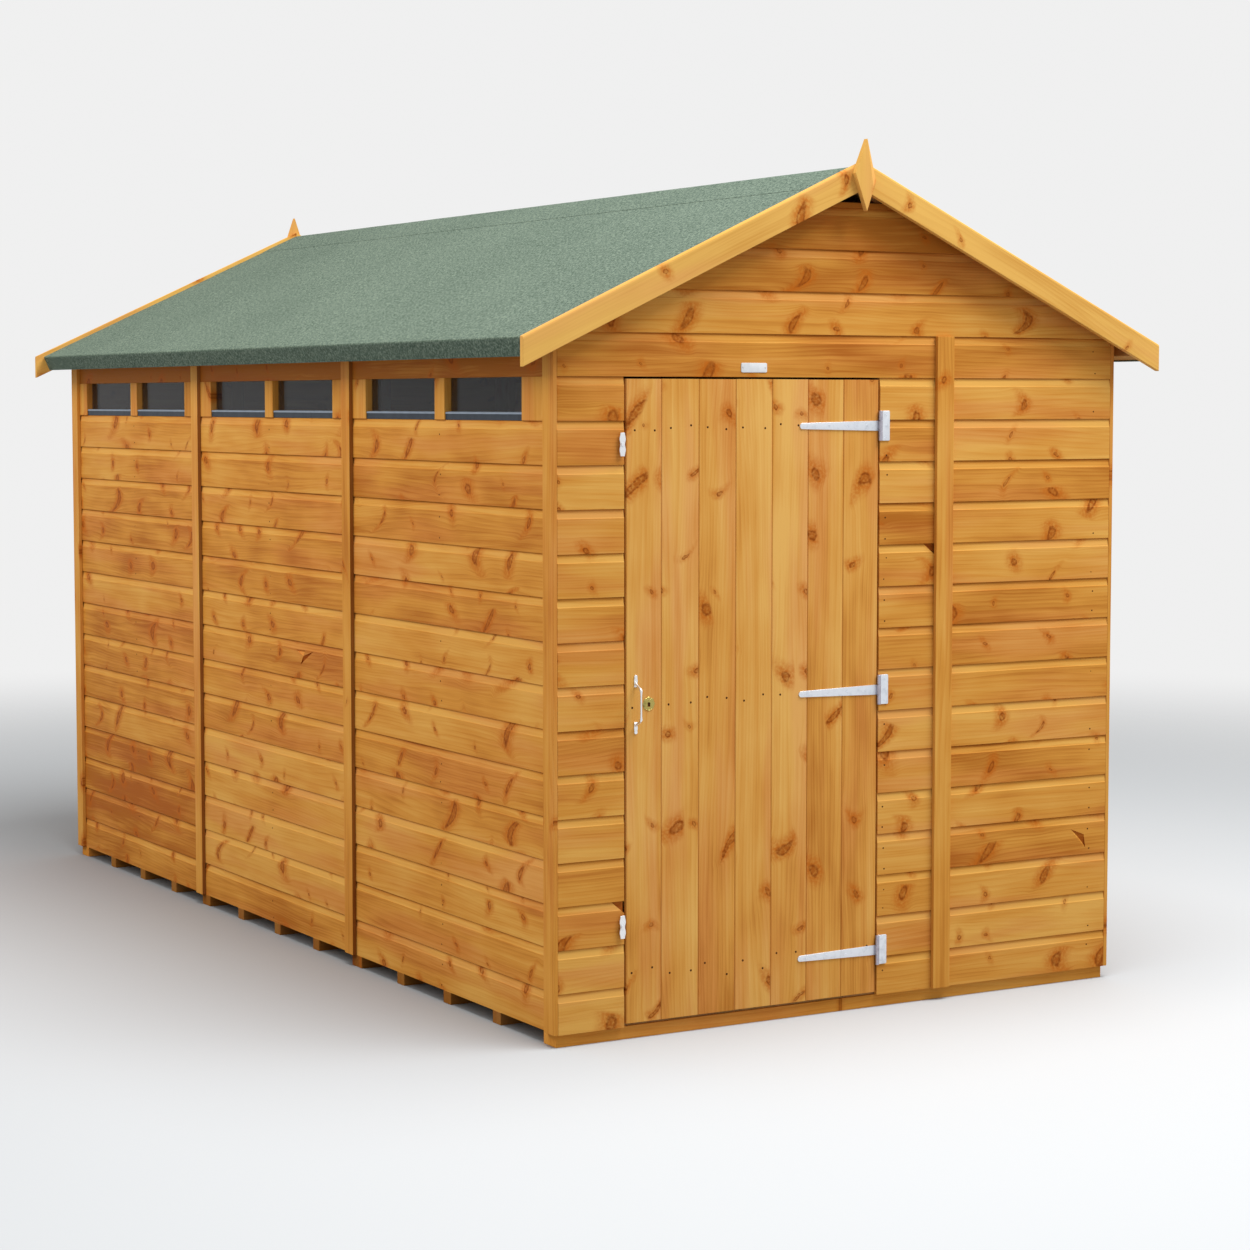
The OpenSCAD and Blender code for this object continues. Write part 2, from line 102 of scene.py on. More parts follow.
class ShedBoards(bpy.types.PropertyGroup):
    """Sizes of the cladding, the boarding and the nails."""

    cover: length("Cover", "Height that one cladding board covers", 112 * MM)
    scoop: length("Scoop height", "Height of the hollow along the top of a board", 23 * MM)
    scoop_depth: length("Scoop depth", "Depth of that hollow", 5.6 * MM)
    # Painted highlight: the hollow along each board's top is painted paler, as if lit from above
    scoop_highlight: share("Pale scoop", "How much paler the stain is in that hollow", 0.5)
    lap: length("Lap", "Height of the tongue behind the next board", 8 * MM)
    arris: length("Arris", "Rounding of a sawn or planed edge", 1.2 * MM)
    joint: length("Joint", "Chamfer beside a joint in boarding", 1.9 * MM)
    slack: length("Slack", "Gap at the ends of boards and in joints", 0.6 * MM)
    floor_board: length("Floor board", "Width of a floor board", 110 * MM)
    roof_board: length("Roof board", "Width of a roof board", 102 * MM)
    roof_thick: length("Roof thickness", "Thickness of a roof board", 12 * MM)
    tear: length("Tear", "Depth of a torn-out wedge", 4.5 * MM)
    nail: length("Nail", "Radius of a nail head", 2.4 * MM)
    door_boards: IntProperty(name="Door boards", description="Boards across the door", default=7, min=3)
    door_edge: length("Door edge board", "Width of the board at the door's free edge", 105 * MM)


class ShedRoof(bpy.types.PropertyGroup):
    """Sizes of the roofing felt, the barge boards and the finials."""

    felt: length("Felt", "Thickness of the felt", 2 * MM)
    fold: length("Fold", "Radius of the felt's fold at the eaves", 6 * MM)
    swell: length("Swell", "Depth of the felt's waves", 1.3 * MM)
    barge_chamfer: length("Barge chamfer", "Chamfer along the top of a barge board", 7 * MM)
    finial_slope: length("Finial slope", "Depth of the bevel on a finial", 13 * MM)
    finial_peak: share("Finial corner", "Place of the bevel's corner down the finial", 0.655)
    finial_shift: length("Finial shift", "Distance of that corner from the middle", 20 * MM)


class ShedIronwork(bpy.types.PropertyGroup):
    """Sizes of the hinges, the handle, the buttons and the plates."""

    screw: length("Screw", "Radius of a screw head", 4.2 * MM)
    sheet: length("Sheet", "Thickness of the hinges' straps and plates", 2.6 * MM)
    pin: length("Pin", "Radius of a hinge pin", 3 * MM)
    edge: length("Edge", "Rounding of pressed metal", 0.7 * MM)
    grip: length("Grip", "Radius of the handle's round grip", 3.6 * MM)
    petals: IntProperty(name="Petals", description="Petals round the keyhole", default=8, min=4)
    plate_w: length("Plate width", "Width of the plate over the door", 80 * MM)
    plate_h: length("Plate height", "Height of the plate over the door", 25 * MM)
    plate_rise: length("Plate rise", "Height of the plate's middle above the doorway", 24.5 * MM)
    plate_shift: length("Plate shift", "Distance of the plate from the door's middle", 6 * MM)


class ShedFinishes(bpy.types.PropertyGroup):
    """Colours of the finishes."""

    honey_pale: colour("Pale honey", "Spring wood of the cladding", 0.77, 0.412, 0.093)
    honey: colour("Honey", "Body of the cladding", 0.67, 0.294, 0.049)
    honey_deep: colour("Deep honey", "Summer wood of the cladding", 0.455, 0.149, 0.018)
    knot: colour("Knot", "Heart of a knot", 0.235, 0.050, 0.004)
    halo: colour("Halo", "Stain round a knot", 0.53, 0.130, 0.009)
    barge: colour("Barge", "Body of the barge boards", 0.745, 0.418, 0.099)
    sawn: colour("Sawn", "Body of the framing inside", 0.52, 0.29, 0.10)
    felt_dark: colour("Dark granules", "Shaded granules of the felt", 0.045, 0.078, 0.059)
    felt_pale: colour("Pale granules", "Bright granules of the felt", 0.254, 0.332, 0.267)
    zinc: colour("Zinc", "Plated steel", 0.80, 0.81, 0.82)
    strap: colour("Strap", "Hinge straps and plates", 0.73, 0.76, 0.81)
    brass: colour("Brass", "Aged brass", 0.46, 0.37, 0.11)
    glass: colour("Glass", "Tint of the panes", 0.030, 0.031, 0.033)
    # Painted light on the glazing bead: its front is painted dark as shade and its top pale as a highlight
    bead: colour("Bead", "Strip along the foot of a pane", 0.026, 0.036, 0.052)
    bead_highlight: colour("Bead nose", "Top of that strip", 0.27, 0.34, 0.44)


class ShedStage(bpy.types.PropertyGroup):
    """The floor, the lamps and the camera."""

    floor: colour("Floor", "Pale studio floor", 0.49, 0.505, 0.517)
    backdrop: colour("Backdrop", "Studio background", 0.87, 0.87, 0.87)
    bounce: share("Bounce", "Part of its light that the floor throws back at the shed", 0.6)
    floor_near: length("Floor fades from", "Distance at which the floor starts to fade", 3.2)
    floor_far: length("Floor fades to", "Distance at which the floor has faded away", 9.0)
    sky: FloatProperty(name="Sky", description="Strength of the light from all round", default=0.55, min=0)
    key: power("Key", "Power of the lamp overhead", 487)
    key_size: length("Key size", "Side of the lamp overhead", 3.5)
    key_place: position("Key place", "Place of the lamp overhead", 2.1, -3.9, 7.0)
    key_aim: position("Key aim", "Place that the lamp overhead is turned to", 0.0, -1.0, 1.0)
    key_tint: colour("Key tint", "Colour of the lamp overhead", 1.0, 1.0, 1.0)
    fill: power("Fill", "Power of the lamp on the left", 335)
    fill_size: length("Fill size", "Side of the lamp on the left", 4.0)
    fill_place: position("Fill place", "Place of the lamp on the left", -5.5, 0.4, 6.9)
    fill_aim: position("Fill aim", "Place that the lamp on the left is turned to", -0.5, 1.1, 1.0)
    fill_tint: colour("Fill tint", "Colour of the lamp on the left", 1.0, 0.90, 0.75)
    ground: power("Ground", "Power of the lamp over the floor", 950)
    ground_size: length("Ground size", "Side of the lamp over the floor", 5.5)
    ground_place: position("Ground place", "Place of the lamp over the floor", 0.5, -3.1, 7.5)
    ground_aim: position("Ground aim", "Place that the lamp over the floor is turned to", 0.4, -2.8, 0.0)
    ground_tint: colour("Ground tint", "Colour of the lamp over the floor", 1.0, 1.0, 1.0)
    lens: FloatProperty(name="Lens", description="Focal length of the camera", default=81.35, unit="CAMERA")
    eye: position("Eye", "Place of the camera", -4.2996, -8.0189, 1.6433)
    yaw: angle("Yaw", "Turn of the camera to the right of straight ahead", 30.249)
    pitch: angle("Pitch", "Tilt of the camera below level", 4.193)
    shift: FloatVectorProperty(name="Shift", description="Shift of the picture, as shares of its width",
                               size=2, default=(-0.0046, -0.0130))


# Damage in the boards: corners broken off, wedges torn out and pale chips, by places along and up a panel
BROKEN = (
    ("front_latch_side", (-0.733, 0.363), (-0.691, 0.329)),
    ("front_hinge_side", (0.245, 1.259), (0.270, 1.238)),
)
TORN = (
    ("front_narrow_panel", (0.763, 0.438), (0.818, 0.380), (0.812, 0.420)),
    ("left_wall_middle", (0.289, 0.8985), (0.195, 0.853), (0.217, 0.881)),
    ("door_leaf", (-0.3585, 0.812), (-0.315, 0.744), (-0.322, 0.800)),
)
CHIPPED = (
    ("left_wall_middle", (0.160, 0.897), (0.2305, 0.8985), (0.217, 0.881)),
)


# Boards: their own axes, outlines and cuts


def axes(origin, along, across):
    """Origin and directions of a board: its length, its width and its thickness."""
    along = Vector(along).normalized()
    across = Vector(across)
    across = (across - along * across.dot(along)).normalized()
    return Vector(origin), along, across, along.cross(across)


def skin(part, rings):
    """Faces between rings of points, which all have as many points."""
    for low, high in zip(rings, rings[1:]):
        for i in range(len(low)):
            part.faces.new((low[i - 1], low[i], high[i], high[i - 1]))


def tube(rings, capped=True):
    """A part whose skin runs through rings of places, with a face over each end if it is capped."""
    part = bmesh.new()
    loops = [[part.verts.new(place) for place in ring] for ring in rings]
    skin(part, loops)
    if capped:
        part.faces.new(loops[0])
        part.faces.new(reversed(loops[-1]))
    bmesh.ops.recalc_face_normals(part, faces=part.faces)
    return part


def circle(middle, side, other, radius, sides):
    """Places round a circle in the plane of two directions."""
    turns = [2 * math.pi * i / sides for i in range(sides)]
    return [middle + (side * math.cos(turn) + other * math.sin(turn)) * radius for turn in turns]


def extrude(outline, board, start, end):
    """A bar of one outline, in pairs of width and thickness, from start to end of a board."""
    origin, along, across, out = board
    middles = [origin + along * reach for reach in (start, end)]
    return tube([[middle + across * p + out * q for p, q in outline] for middle in middles])


def clip(part, point, outward):
    """Cuts away what lies beyond a plane and closes the cut."""
    every = part.verts[:] + part.edges[:] + part.faces[:]
    bmesh.ops.bisect_plane(part, geom=every, plane_co=point, plane_no=outward, clear_outer=True)
    rims = [edge for edge in part.edges if edge.is_boundary]
    if rims:
        bmesh.ops.holes_fill(part, edges=rims)
        bmesh.ops.recalc_face_normals(part, faces=part.faces)


def soften(part, size, steps=2, least_turn=0.5):
    """Rounds the sharp edges of a solid."""
    sharp = [edge for edge in part.edges if edge.is_manifold and edge.calc_face_angle() > least_turn]
    bmesh.ops.bevel(part, geom=sharp, offset=size, segments=steps, profile=0.5, affect="EDGES",
                    clamp_overlap=True)


def new_piece():
    """An empty piece whose points keep their place in the grain."""
    piece = bmesh.new()
    piece.verts.layers.float_vector.new("grain")
    piece.verts.layers.float.new("tone")
    return piece


def join(piece, part, board, luck, darker=lambda place: 0.0):
    """Adds a board to a piece and notes its stain, with any painted shade or highlight from darker, and where
    its points lie in its own grain.
    """
    grain = piece.verts.layers.float_vector["grain"]
    tone = piece.verts.layers.float["tone"]
    origin, along, across, out = board
    log_length, log_girth = 60, 5
    log = Vector([luck.uniform(0, span) for span in (log_length, log_girth, log_girth)])
    stain = luck.random()
    copies = {}
    for point in part.verts:
        place = point.co - origin
        place = Vector((place.dot(along), place.dot(across), place.dot(out)))
        copy = piece.verts.new(point.co)
        copy[grain] = place + log
        copy[tone] = stain + darker(place)
        copies[point] = copy
    for face in part.faces:
        made = piece.faces.new([copies[point] for point in face.verts])
        made.smooth = face.smooth
        made.material_index = face.material_index
    part.free()


def finish(piece, name, material, body, replaced=(), smooth=None, more_woods=()):
    """Turns a piece into an object that rides on its body."""
    mesh = bpy.data.meshes.new(name)
    piece.to_mesh(mesh)
    piece.free()
    if smooth is not None:
        mesh.shade_smooth()
        mesh.set_sharp_from_angle(angle=smooth)
    mesh.materials.append(material)
    for kind in more_woods:
        mesh.materials.append(woods(kind))
    thing = bpy.data.objects.new(name, mesh)
    bpy.context.scene.collection.objects.link(thing)
    pieces().objects.link(thing)
    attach(thing, body)
    if replaced:
        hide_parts(*replaced)
    return thing


def pieces():
    """The collection of all that is the shed's own, for the lamps that light only the shed."""
    name = "shed_pieces"
    return bpy.data.collections.get(name) or bpy.data.collections.new(name)


def solids(node_name):
    """The separate solids of a node of the frame, each with its flat faces whole."""
    weld = 1e-5
    flat = math.radians(0.5)
    whole = bmesh.new()
    whole.from_mesh(frame["nodes"][node_name].data)
    bmesh.ops.remove_doubles(whole, verts=whole.verts, dist=weld)
    bmesh.ops.dissolve_limit(whole, angle_limit=flat, verts=whole.verts, edges=whole.edges)
    left = dict.fromkeys(whole.verts)
    found = []
    while left:
        island = []
        queue = [next(iter(left))]
        left.pop(queue[0])
        while queue:
            point = queue.pop()
            island.append(point)
            for edge in point.link_edges:
                other = edge.other_vert(point)
                if other in left:
                    left.pop(other)
                    queue.append(other)
        part = bmesh.new()
        copies = {point: part.verts.new(point.co) for point in island}
        for face in dict.fromkeys(face for point in island for face in point.link_faces):
            part.faces.new([copies[point] for point in face.verts])
        bmesh.ops.recalc_face_normals(part, faces=part.faces)
        found.append(part)
    whole.free()
    return sorted(found, key=lambda part: tuple(round(x, 4) for x in middle_of(part)))


def box_of(part):
    """Lowest and highest corner of a solid."""
    low = Vector([min(point.co[i] for point in part.verts) for i in range(3)])
    high = Vector([max(point.co[i] for point in part.verts) for i in range(3)])
    return low, high


def middle_of(part):
    """Middle of a solid's box."""
    low, high = box_of(part)
    return (low + high) / 2


def timber_axes(part, along=None):
    """Axes of a sawn timber: along its longest edge unless told, across its wider side."""
    least_across = 0.3
    if along is None:
        longest = max(part.edges, key=lambda edge: round(edge.calc_length(), 5))
        along = longest.verts[1].co - longest.verts[0].co
    along = Vector(along).normalized()
    spans = []
    for side in (FRONT, RIGHT, UP):
        side = side - along * side.dot(along)
        if side.length > least_across:
            side = side.normalized()
            reach = [point.co.dot(side) for point in part.verts]
            spans.append((round(max(reach) - min(reach), 5), side))
    return axes(middle_of(part), along, max(spans, key=lambda span: span[0])[1])


def timbers(node_name, name, material, body, seed, along=None, round_by=None, darker=0.0, dirty=None):
    """Every solid of a node as a timber with softened edges, grain along it, and painted shade over all of it
    or on some faces.
    """
    luck = random.Random(seed)
    arris = bpy.context.scene.shed_boards.arris
    piece = new_piece()
    for part in solids(node_name):
        board = timber_axes(part, along)
        soften(part, round_by or arris)
        for face in part.faces:
            # Faces that the mask picks take a dark copy of the wood as painted shade
            face.material_index = 1 if dirty and dirty(face) else 0
        join(piece, part, board, luck, lambda place: darker)
    more_woods = ("dirty",) if dirty else ()
    return finish(piece, name, material, body, [node_name], more_woods=more_woods)


def shiplap(sizes, thick, top):
    """Outline of a cladding board: flat face, bevelled hollow top and tongue behind the next board."""
    scoop_shares = ((0.05, 0.16), (0.14, 0.26), (0.5, 0.48), (0.86, 0.70), (1.0, 1.0))
    flat = sizes.cover - sizes.scoop
    tongue = thick - sizes.scoop_depth
    outline = [(sizes.arris / 2, thick), (flat, thick)]
    outline += [(flat + up * sizes.scoop, thick - sink * sizes.scoop_depth) for up, sink in scoop_shares]
    rebate = sizes.lap + sizes.slack
    return outline + [(top, tongue), (top, 0), (rebate, 0), (rebate, tongue + sizes.slack),
                      (0, tongue + sizes.slack), (0, thick - sizes.arris / 2)]


def scoop_painted_light(sizes, place):
    """Painted highlight in the hollow of a cladding board: how much paler it is painted, up to where the next
    board covers it.
    """
    foot_share, covered_share = 0.02, 0.8
    up = (place.y - sizes.cover + sizes.scoop) / sizes.scoop
    return -sizes.scoop_highlight if foot_share <= up < covered_share else 0.0


def tongued(wide, thick, sizes, first=False, last=False):
    """Outline of a tongued and grooved board with chamfers on its face."""
    inner, outer = 0.32 * thick, 0.62 * thick
    tongue = 4 * MM
    chamfer = sizes.joint
    low, high = sizes.slack / 2, wide - sizes.slack / 2
    outline = [(low, thick - chamfer), (low + chamfer, thick)]
    outline += [(high - chamfer, thick), (high, thick - chamfer)]
    if not last:
        reach = high + tongue
        outline += [(high, outer), (reach, outer), (reach, inner), (high, inner)]
    outline += [(high, 0), (low, 0)]
    if not first:
        depth = low + tongue + sizes.slack
        room = sizes.slack / 2
        outline += [(low, inner - room), (depth, inner - room), (depth, outer + room), (low, outer + room)]
    return outline


def break_corner(part, along, out, face, start, end, depth):
    """Breaks the upper end off a board down to a depth, and returns what is left behind the break."""
    slope, facing = 0.25, 0.99
    first, last = (along * u + UP * z + out * face for u, z in (start, end))
    inward = out.cross(last - first).normalized()
    if inward.z < 0:
        inward = -inward
    outward = (inward + out * slope).normalized()
    rest = part.copy()
    clip(part, first, outward)
    clip(rest, first, -outward)
    clip(rest, out * (face - depth), out)
    for found in list(part.faces) + list(rest.faces):
        if found.normal.dot(outward) > facing or found.normal.dot(out) > facing and found in rest.faces:
            found.material_index = 1
    return rest


def tear_wedge(part, along, out, face, corners, depth, bare=1):
    """Tears a wedge out of a board's face: deep along the first two corners and running out at the third."""
    near, hair, facing = 0.1 * MM, 0.05 * MM, 0.9
    lean = 0.25
    places = [along * u + UP * z + out * face for u, z in corners]
    middle = sum(places, Vector()) / 3
    level = places[0].dot(out)
    for i in range(3):
        flush = [f for f in part.faces if all(abs(v.co.dot(out) - level) < near for v in f.verts)]
        edges = dict.fromkeys(e for f in flush for e in f.edges)
        points = dict.fromkeys(v for f in flush for v in f.verts)
        side = (places[i] - places[i - 1]).cross(out)
        geom = [*flush, *edges, *points]
        bmesh.ops.bisect_plane(part, geom=geom, plane_co=places[i], plane_no=side, dist=hair)
    flush = [f for f in part.faces if f.normal.dot(out) > facing and len(f.verts) == 3]
    wedge = min(flush, key=lambda f: (f.calc_center_median() - middle).length)
    rim = [min(wedge.verts, key=lambda v: (v.co - place).length) for place in places]
    bmesh.ops.delete(part, geom=[wedge], context="FACES_ONLY")
    deep = [part.verts.new(v.co.lerp(rim[2].co, lean) - out * depth) for v in rim[:2]]
    part.faces.new((rim[0], rim[1], deep[1], deep[0]))
    for ring in ((deep[0], deep[1], rim[2]), (rim[0], deep[0], rim[2]), (rim[1], rim[2], deep[1])):
        part.faces.new(ring).material_index = bare
    bmesh.ops.recalc_face_normals(part, faces=part.faces)


def nail_head(piece, point, out, size, luck):
    """A small domed nail head on a face."""
    sides = 8
    sunk, proud = 0.5 * MM, 0.35 * MM
    crown = 0.55 * size
    side = out.orthogonal().normalized()
    other = out.cross(side)
    part = bmesh.new()
    rings = []
    for radius, height in ((size, -sunk), (size, proud / 2), (crown, proud)):
        places = circle(point + out * height, side, other, radius, sides)
        rings.append([part.verts.new(place) for place in places])
    skin(part, rings)
    part.faces.new(rings[-1])
    join(piece, part, axes(point, side, other), luck)


# Finishes


class Amount:
    """A number that varies over a surface and can be added, scaled or raised to a power."""

    def __init__(self, tree, socket):
        self.tree = tree
        self.socket = socket

    def __add__(self, other):
        return calc(self.tree, "ADD", self, other)

    def __sub__(self, other):
        return calc(self.tree, "SUBTRACT", self, other)

    def __mul__(self, other):
        return calc(self.tree, "MULTIPLY", self, other)

    def __truediv__(self, other):
        return calc(self.tree, "DIVIDE", self, other)

    def __pow__(self, other):
        return calc(self.tree, "POWER", self, other)

    def __abs__(self):
        return calc(self.tree, "ABSOLUTE", self)


def put(tree, socket, value):
    """Sets a socket to a value, or links it to an amount or to another socket."""
    source = value.socket if isinstance(value, Amount) else value
    if isinstance(source, bpy.types.NodeSocket):
        tree.links.new(source, socket)
    else:
        socket.default_value = source


def node(tree, kind, inputs=None, **settings):
    """Adds a shader node with its settings, and sets or links its sockets."""
    made = tree.nodes.new("ShaderNode" + kind)
    for key, value in settings.items():
        setattr(made, key, value)
    for key, value in (inputs or {}).items():
        put(tree, made.inputs[key], value)
    return made


def calc(tree, kind, *terms, clamp=False):
    """An amount worked out from numbers and other amounts."""
    made = node(tree, "Math", dict(enumerate(terms)), operation=kind, use_clamp=clamp)
    return Amount(tree, made.outputs[0])


def apart(tree, a, b):
    """The distance made up of two distances at right angles."""
    return calc(tree, "SQRT", a ** 2.0 + b ** 2.0)


def attribute(tree, name):
    """An amount that the points of a piece carry."""
    return Amount(tree, node(tree, "Attribute", attribute_name=name).outputs["Fac"])


def parts(tree, socket, kind="SeparateXYZ"):
    """The three amounts in a vector or a colour."""
    return [Amount(tree, output) for output in node(tree, kind, {0: socket}).outputs]


def stretched(tree, place, *scales):
    """A place with its three amounts scaled."""
    return node(tree, "VectorMath", {0: place, 1: scales}, operation="MULTIPLY").outputs[0]


def speckle(tree, place, scale=1.0, detail=2.0, rough=0.5):
    """Smooth noise from 0 to 1 at a place."""
    inputs = {"Vector": place, "Scale": scale, "Detail": detail, "Roughness": rough}
    return Amount(tree, node(tree, "TexNoise", inputs).outputs[0])


def ramp(tree, value, low, high, to_low=0.0, to_high=1.0):
    """An amount eased from one range to another."""
    inputs = {"Value": value, "From Min": low, "From Max": high, "To Min": to_low, "To Max": to_high}
    return Amount(tree, node(tree, "MapRange", inputs, interpolation_type="SMOOTHSTEP").outputs[0])


def mix(tree, amount, first, second, blend="MIX"):
    """Two colours blended by an amount."""
    made = node(tree, "Mix", data_type="RGBA", blend_type=blend)
    sockets = {socket.identifier: socket for socket in made.inputs}
    put(tree, sockets["Factor_Float"], amount)
    for key, tint in (("A_Color", first), ("B_Color", second)):
        linked = isinstance(tint, bpy.types.NodeSocket)
        put(tree, sockets[key], tint if linked else (*tint[:3], 1))
    return next(socket for socket in made.outputs if socket.identifier == "Result_Color")


def bumps(tree, height, strength, depth):
    """The slopes of a surface that is raised by an amount."""
    return node(tree, "Bump", {"Height": height, "Strength": strength, "Distance": depth}).outputs[0]


def known(name):
    """The finish of a name if it has been made before."""
    return bpy.data.materials.get(name + "_finish")


def new_material(name):
    """An empty finish and its node tree."""
    material = bpy.data.materials.new(name + "_finish")
    material.use_nodes = True
    return material, material.node_tree


def coat(tree, inputs):
    """Sets or links the sockets of a finish's shader."""
    for key, value in inputs.items():
        put(tree, tree.nodes["Principled BSDF"].inputs[key], value)


def wood_knots(tree, grain, knots, leaning):
    """Knots at a chance in each cell of a jittered grid: how they part the grain, hearts and halos."""
    cell_u, cell_v = 4.6, 11.0
    ragged_by, ragged_along = 0.010, 0.9
    hook_by, reshuffled = 60.0, 7.0
    least, spare = 0.0048, 0.0130
    squat, spike_by = 0.8, 2.8
    border, rim_at, rim_share = 0.12, 0.82, 0.55
    halo_wide, halo_tall, halo_least = 2.9, 2.4, 0.013
    place = stretched(tree, grain, cell_u, cell_v, 0.0)
    cells, borders = (node(tree, "TexVoronoi", {"Vector": place, "Scale": 1.0, "Randomness": 0.9},
                           voronoi_dimensions="2D", feature=feature).outputs
                      for feature in ("F1", "DISTANCE_TO_EDGE"))
    chance, size, shape = parts(tree, cells["Color"], "SeparateColor")
    away = node(tree, "VectorMath", {0: place, 1: cells["Position"]}, operation="SUBTRACT").outputs[0]
    away_u, away_v = parts(tree, away)[:2]
    ragged = (speckle(tree, stretched(tree, grain, 60.0, 60.0, 0.0), detail=3.0) - 0.5) * ragged_by
    across = away_v / cell_v + ragged
    lean = across * (shape - 0.5) * leaning
    hook = (calc(tree, "FRACT", chance * reshuffled) - 0.5) * hook_by
    along = away_u / cell_u + lean + ragged * ragged_along + across * across * hook
    wide = size ** 2.0 * spare + least
    tall = wide * (shape ** 3.0 * spike_by + squat)
    reach = apart(tree, along / wide, across / tall)
    there = calc(tree, "GREATER_THAN", chance, 1.0 - knots) * ramp(tree, borders["Distance"], 0.0, border)
    chips = speckle(tree, stretched(tree, grain, 130.0, 110.0, 1.0), detail=3.0)
    rim = ramp(tree, abs(reach - rim_at), 0.42, 0.05)
    heart = ramp(tree, reach, 1.2, 0.7) * (rim * rim_share + (1.0 - rim_share))
    heart = heart * ramp(tree, chips, 0.30, 0.65, 0.5, 1.0)
    halo_reach = apart(tree, along / (wide * halo_wide), across / (tall * halo_tall + halo_least))
    glow = ramp(tree, halo_reach, 1.25, 0.25)
    halo = glow * ramp(tree, size, 0.0, 0.6, 0.45, 1.0) * ramp(tree, chips, 0.25, 0.65, 0.4, 1.0)
    parted = across / (reach * reach + 1.0) * there
    return parted, heart * there, halo * there


def wood_grain(tree, grain, parted):
    """Grain that wanders along the board and parts round the knots: summer wood, fibres and streaks."""
    drift_by, parted_by = 0.03, 1.6
    rings, flames, layers = 90.0, 11.0, 60.0
    u, v, w = parts(tree, grain)
    drift = speckle(tree, stretched(tree, grain, 1.3, 4.0, 1.0), detail=1.0)
    line = v + drift * drift_by - parted * parted_by
    flow = node(tree, "CombineXYZ", {"X": u, "Y": line, "Z": w}).outputs[0]
    flame = speckle(tree, stretched(tree, flow, 0.8, 7.0, 1.0), detail=1.0)
    ring = calc(tree, "FRACT", line * rings + (flame * flames + w * layers))
    summer = ring ** 2.2 * ramp(tree, ring, 1.0, 0.86)
    fibre = speckle(tree, stretched(tree, flow, 7.0, 330.0, 330.0), detail=3.0, rough=0.6)
    streak = speckle(tree, stretched(tree, flow, 1.6, 60.0, 1.0))
    return summer, fibre, streak


def wood(name, pale, body, deep, knots=0.5, gloss=0.54, spread=0.62, rough_sawn=0.0, leaning=-1.8):
    """Softwood with rings, fibres, stains and knots that the grain runs round."""
    if known(name):
        return known(name)
    by_summer, by_fibre, by_streak, by_blotch = 0.22, 0.44, 0.74, 1.3
    middle, by_halo, by_heart = 0.36, 0.85, 0.92
    planed, ridge, sunk = 0.5, 0.4, 0.6
    matt_fibre, matt_sawn = 0.22, 0.3
    flushed = (0.96, 0.85, 0.98)
    colours = bpy.context.scene.shed_finishes
    material, tree = new_material(name)
    grain = node(tree, "Attribute", attribute_name="grain").outputs["Vector"]
    parted, heart, halo = wood_knots(tree, grain, knots, leaning)
    summer, fibre, streak = wood_grain(tree, grain, parted)
    blotch = speckle(tree, stretched(tree, grain, 3.0, 9.0, 1.0))
    depth = summer * by_summer + (fibre - 0.5) * by_fibre
    depth = depth + (streak - 0.5) * by_streak + (blotch - 0.5) * by_blotch
    depth = calc(tree, "ADD", depth, (attribute(tree, "tone") - 0.5) * spread + middle, clamp=True)
    tint = node(tree, "ValToRGB", {"Fac": depth})
    stops = tint.color_ramp.elements
    stops[0].color = (*pale, 1)
    stops[1].color = (*deep, 1)
    stops.new(0.5).color = (*body, 1)
    flush = speckle(tree, stretched(tree, grain, 1.4, 11.0, 3.0))
    paint = mix(tree, ramp(tree, flush, 0.44, 0.66), tint.outputs[0], flushed, "MULTIPLY")
    paint = mix(tree, halo * by_halo, paint, colours.halo)
    paint = mix(tree, heart * by_heart, paint, colours.knot)
    relief = fibre * (planed + rough_sawn) + (summer * ridge - heart * sunk)
    coat(tree, {
        "Base Color": paint,
        "Roughness": (fibre - 0.5) * matt_fibre + (gloss + matt_sawn * rough_sawn),
        "Specular IOR Level": 0.04,
        "Normal": bumps(tree, relief, strength=0.35, depth=0.6 * MM),
    })
    return material


# Woods of the cladding's colours: how much each light of those changes, and how the wood is made
HONEY_WOODS = {
    "cladding": ((1.0, 1.0, 1.0), {"knots": 0.7, "spread": 0.62}),
    # Torn wood: the red-brown of torn fibres, deepened as painted shade in the recesses of tears and breaks
    "torn": ((0.66, 0.42, 0.30), {"knots": 0.0, "rough_sawn": 1.0}),
    "chipped": ((1.22, 1.32, 1.5), {"knots": 0.0, "rough_sawn": 1.0}),
    # Painted shade: a dark copy of the cladding's wood for faces that stand in shade
    "dirty": ((0.46, 0.40, 0.42), {"knots": 0.2, "rough_sawn": 1.0}),
    "joist": ((1.08, 1.04, 1.0), {"knots": 0.3, "rough_sawn": 1.0}),
    "strip": ((1.0, 1.0, 1.0), {"knots": 0.3, "spread": 0.25}),
    "door": ((1.05, 1.10, 1.28), {"knots": 0.5, "spread": 0.3, "leaning": 1.8}),
}


def woods(kind):
    """The shed's timbers, by what they are for."""
    c = bpy.context.scene.shed_finishes
    name = kind + "_wood"
    if kind in HONEY_WOODS:
        change, settings = HONEY_WOODS[kind]
        tints = [shade(tint, *change) for tint in (c.honey_pale, c.honey, c.honey_deep)]
        return wood(name, *tints, **settings)
    if kind == "barge":
        pale, deep = shade(c.barge, 1.1, 1.15, 1.2), shade(c.barge, 0.8, 0.66, 0.5)
        return wood(name, pale, c.barge, deep, knots=0.5, spread=0.3)
    pale, deep = shade(c.sawn, 1.2, 1.25, 1.3), shade(c.sawn, 0.7, 0.62, 0.5)
    return wood(name, pale, c.sawn, deep, knots=0.4, gloss=0.7, rough_sawn=1.0)


def shade(tint, red, green, blue):
    """A colour with each of its lights made stronger or weaker."""
    return tuple(min(1.0, a * b) for a, b in zip(tint, (red, green, blue)))


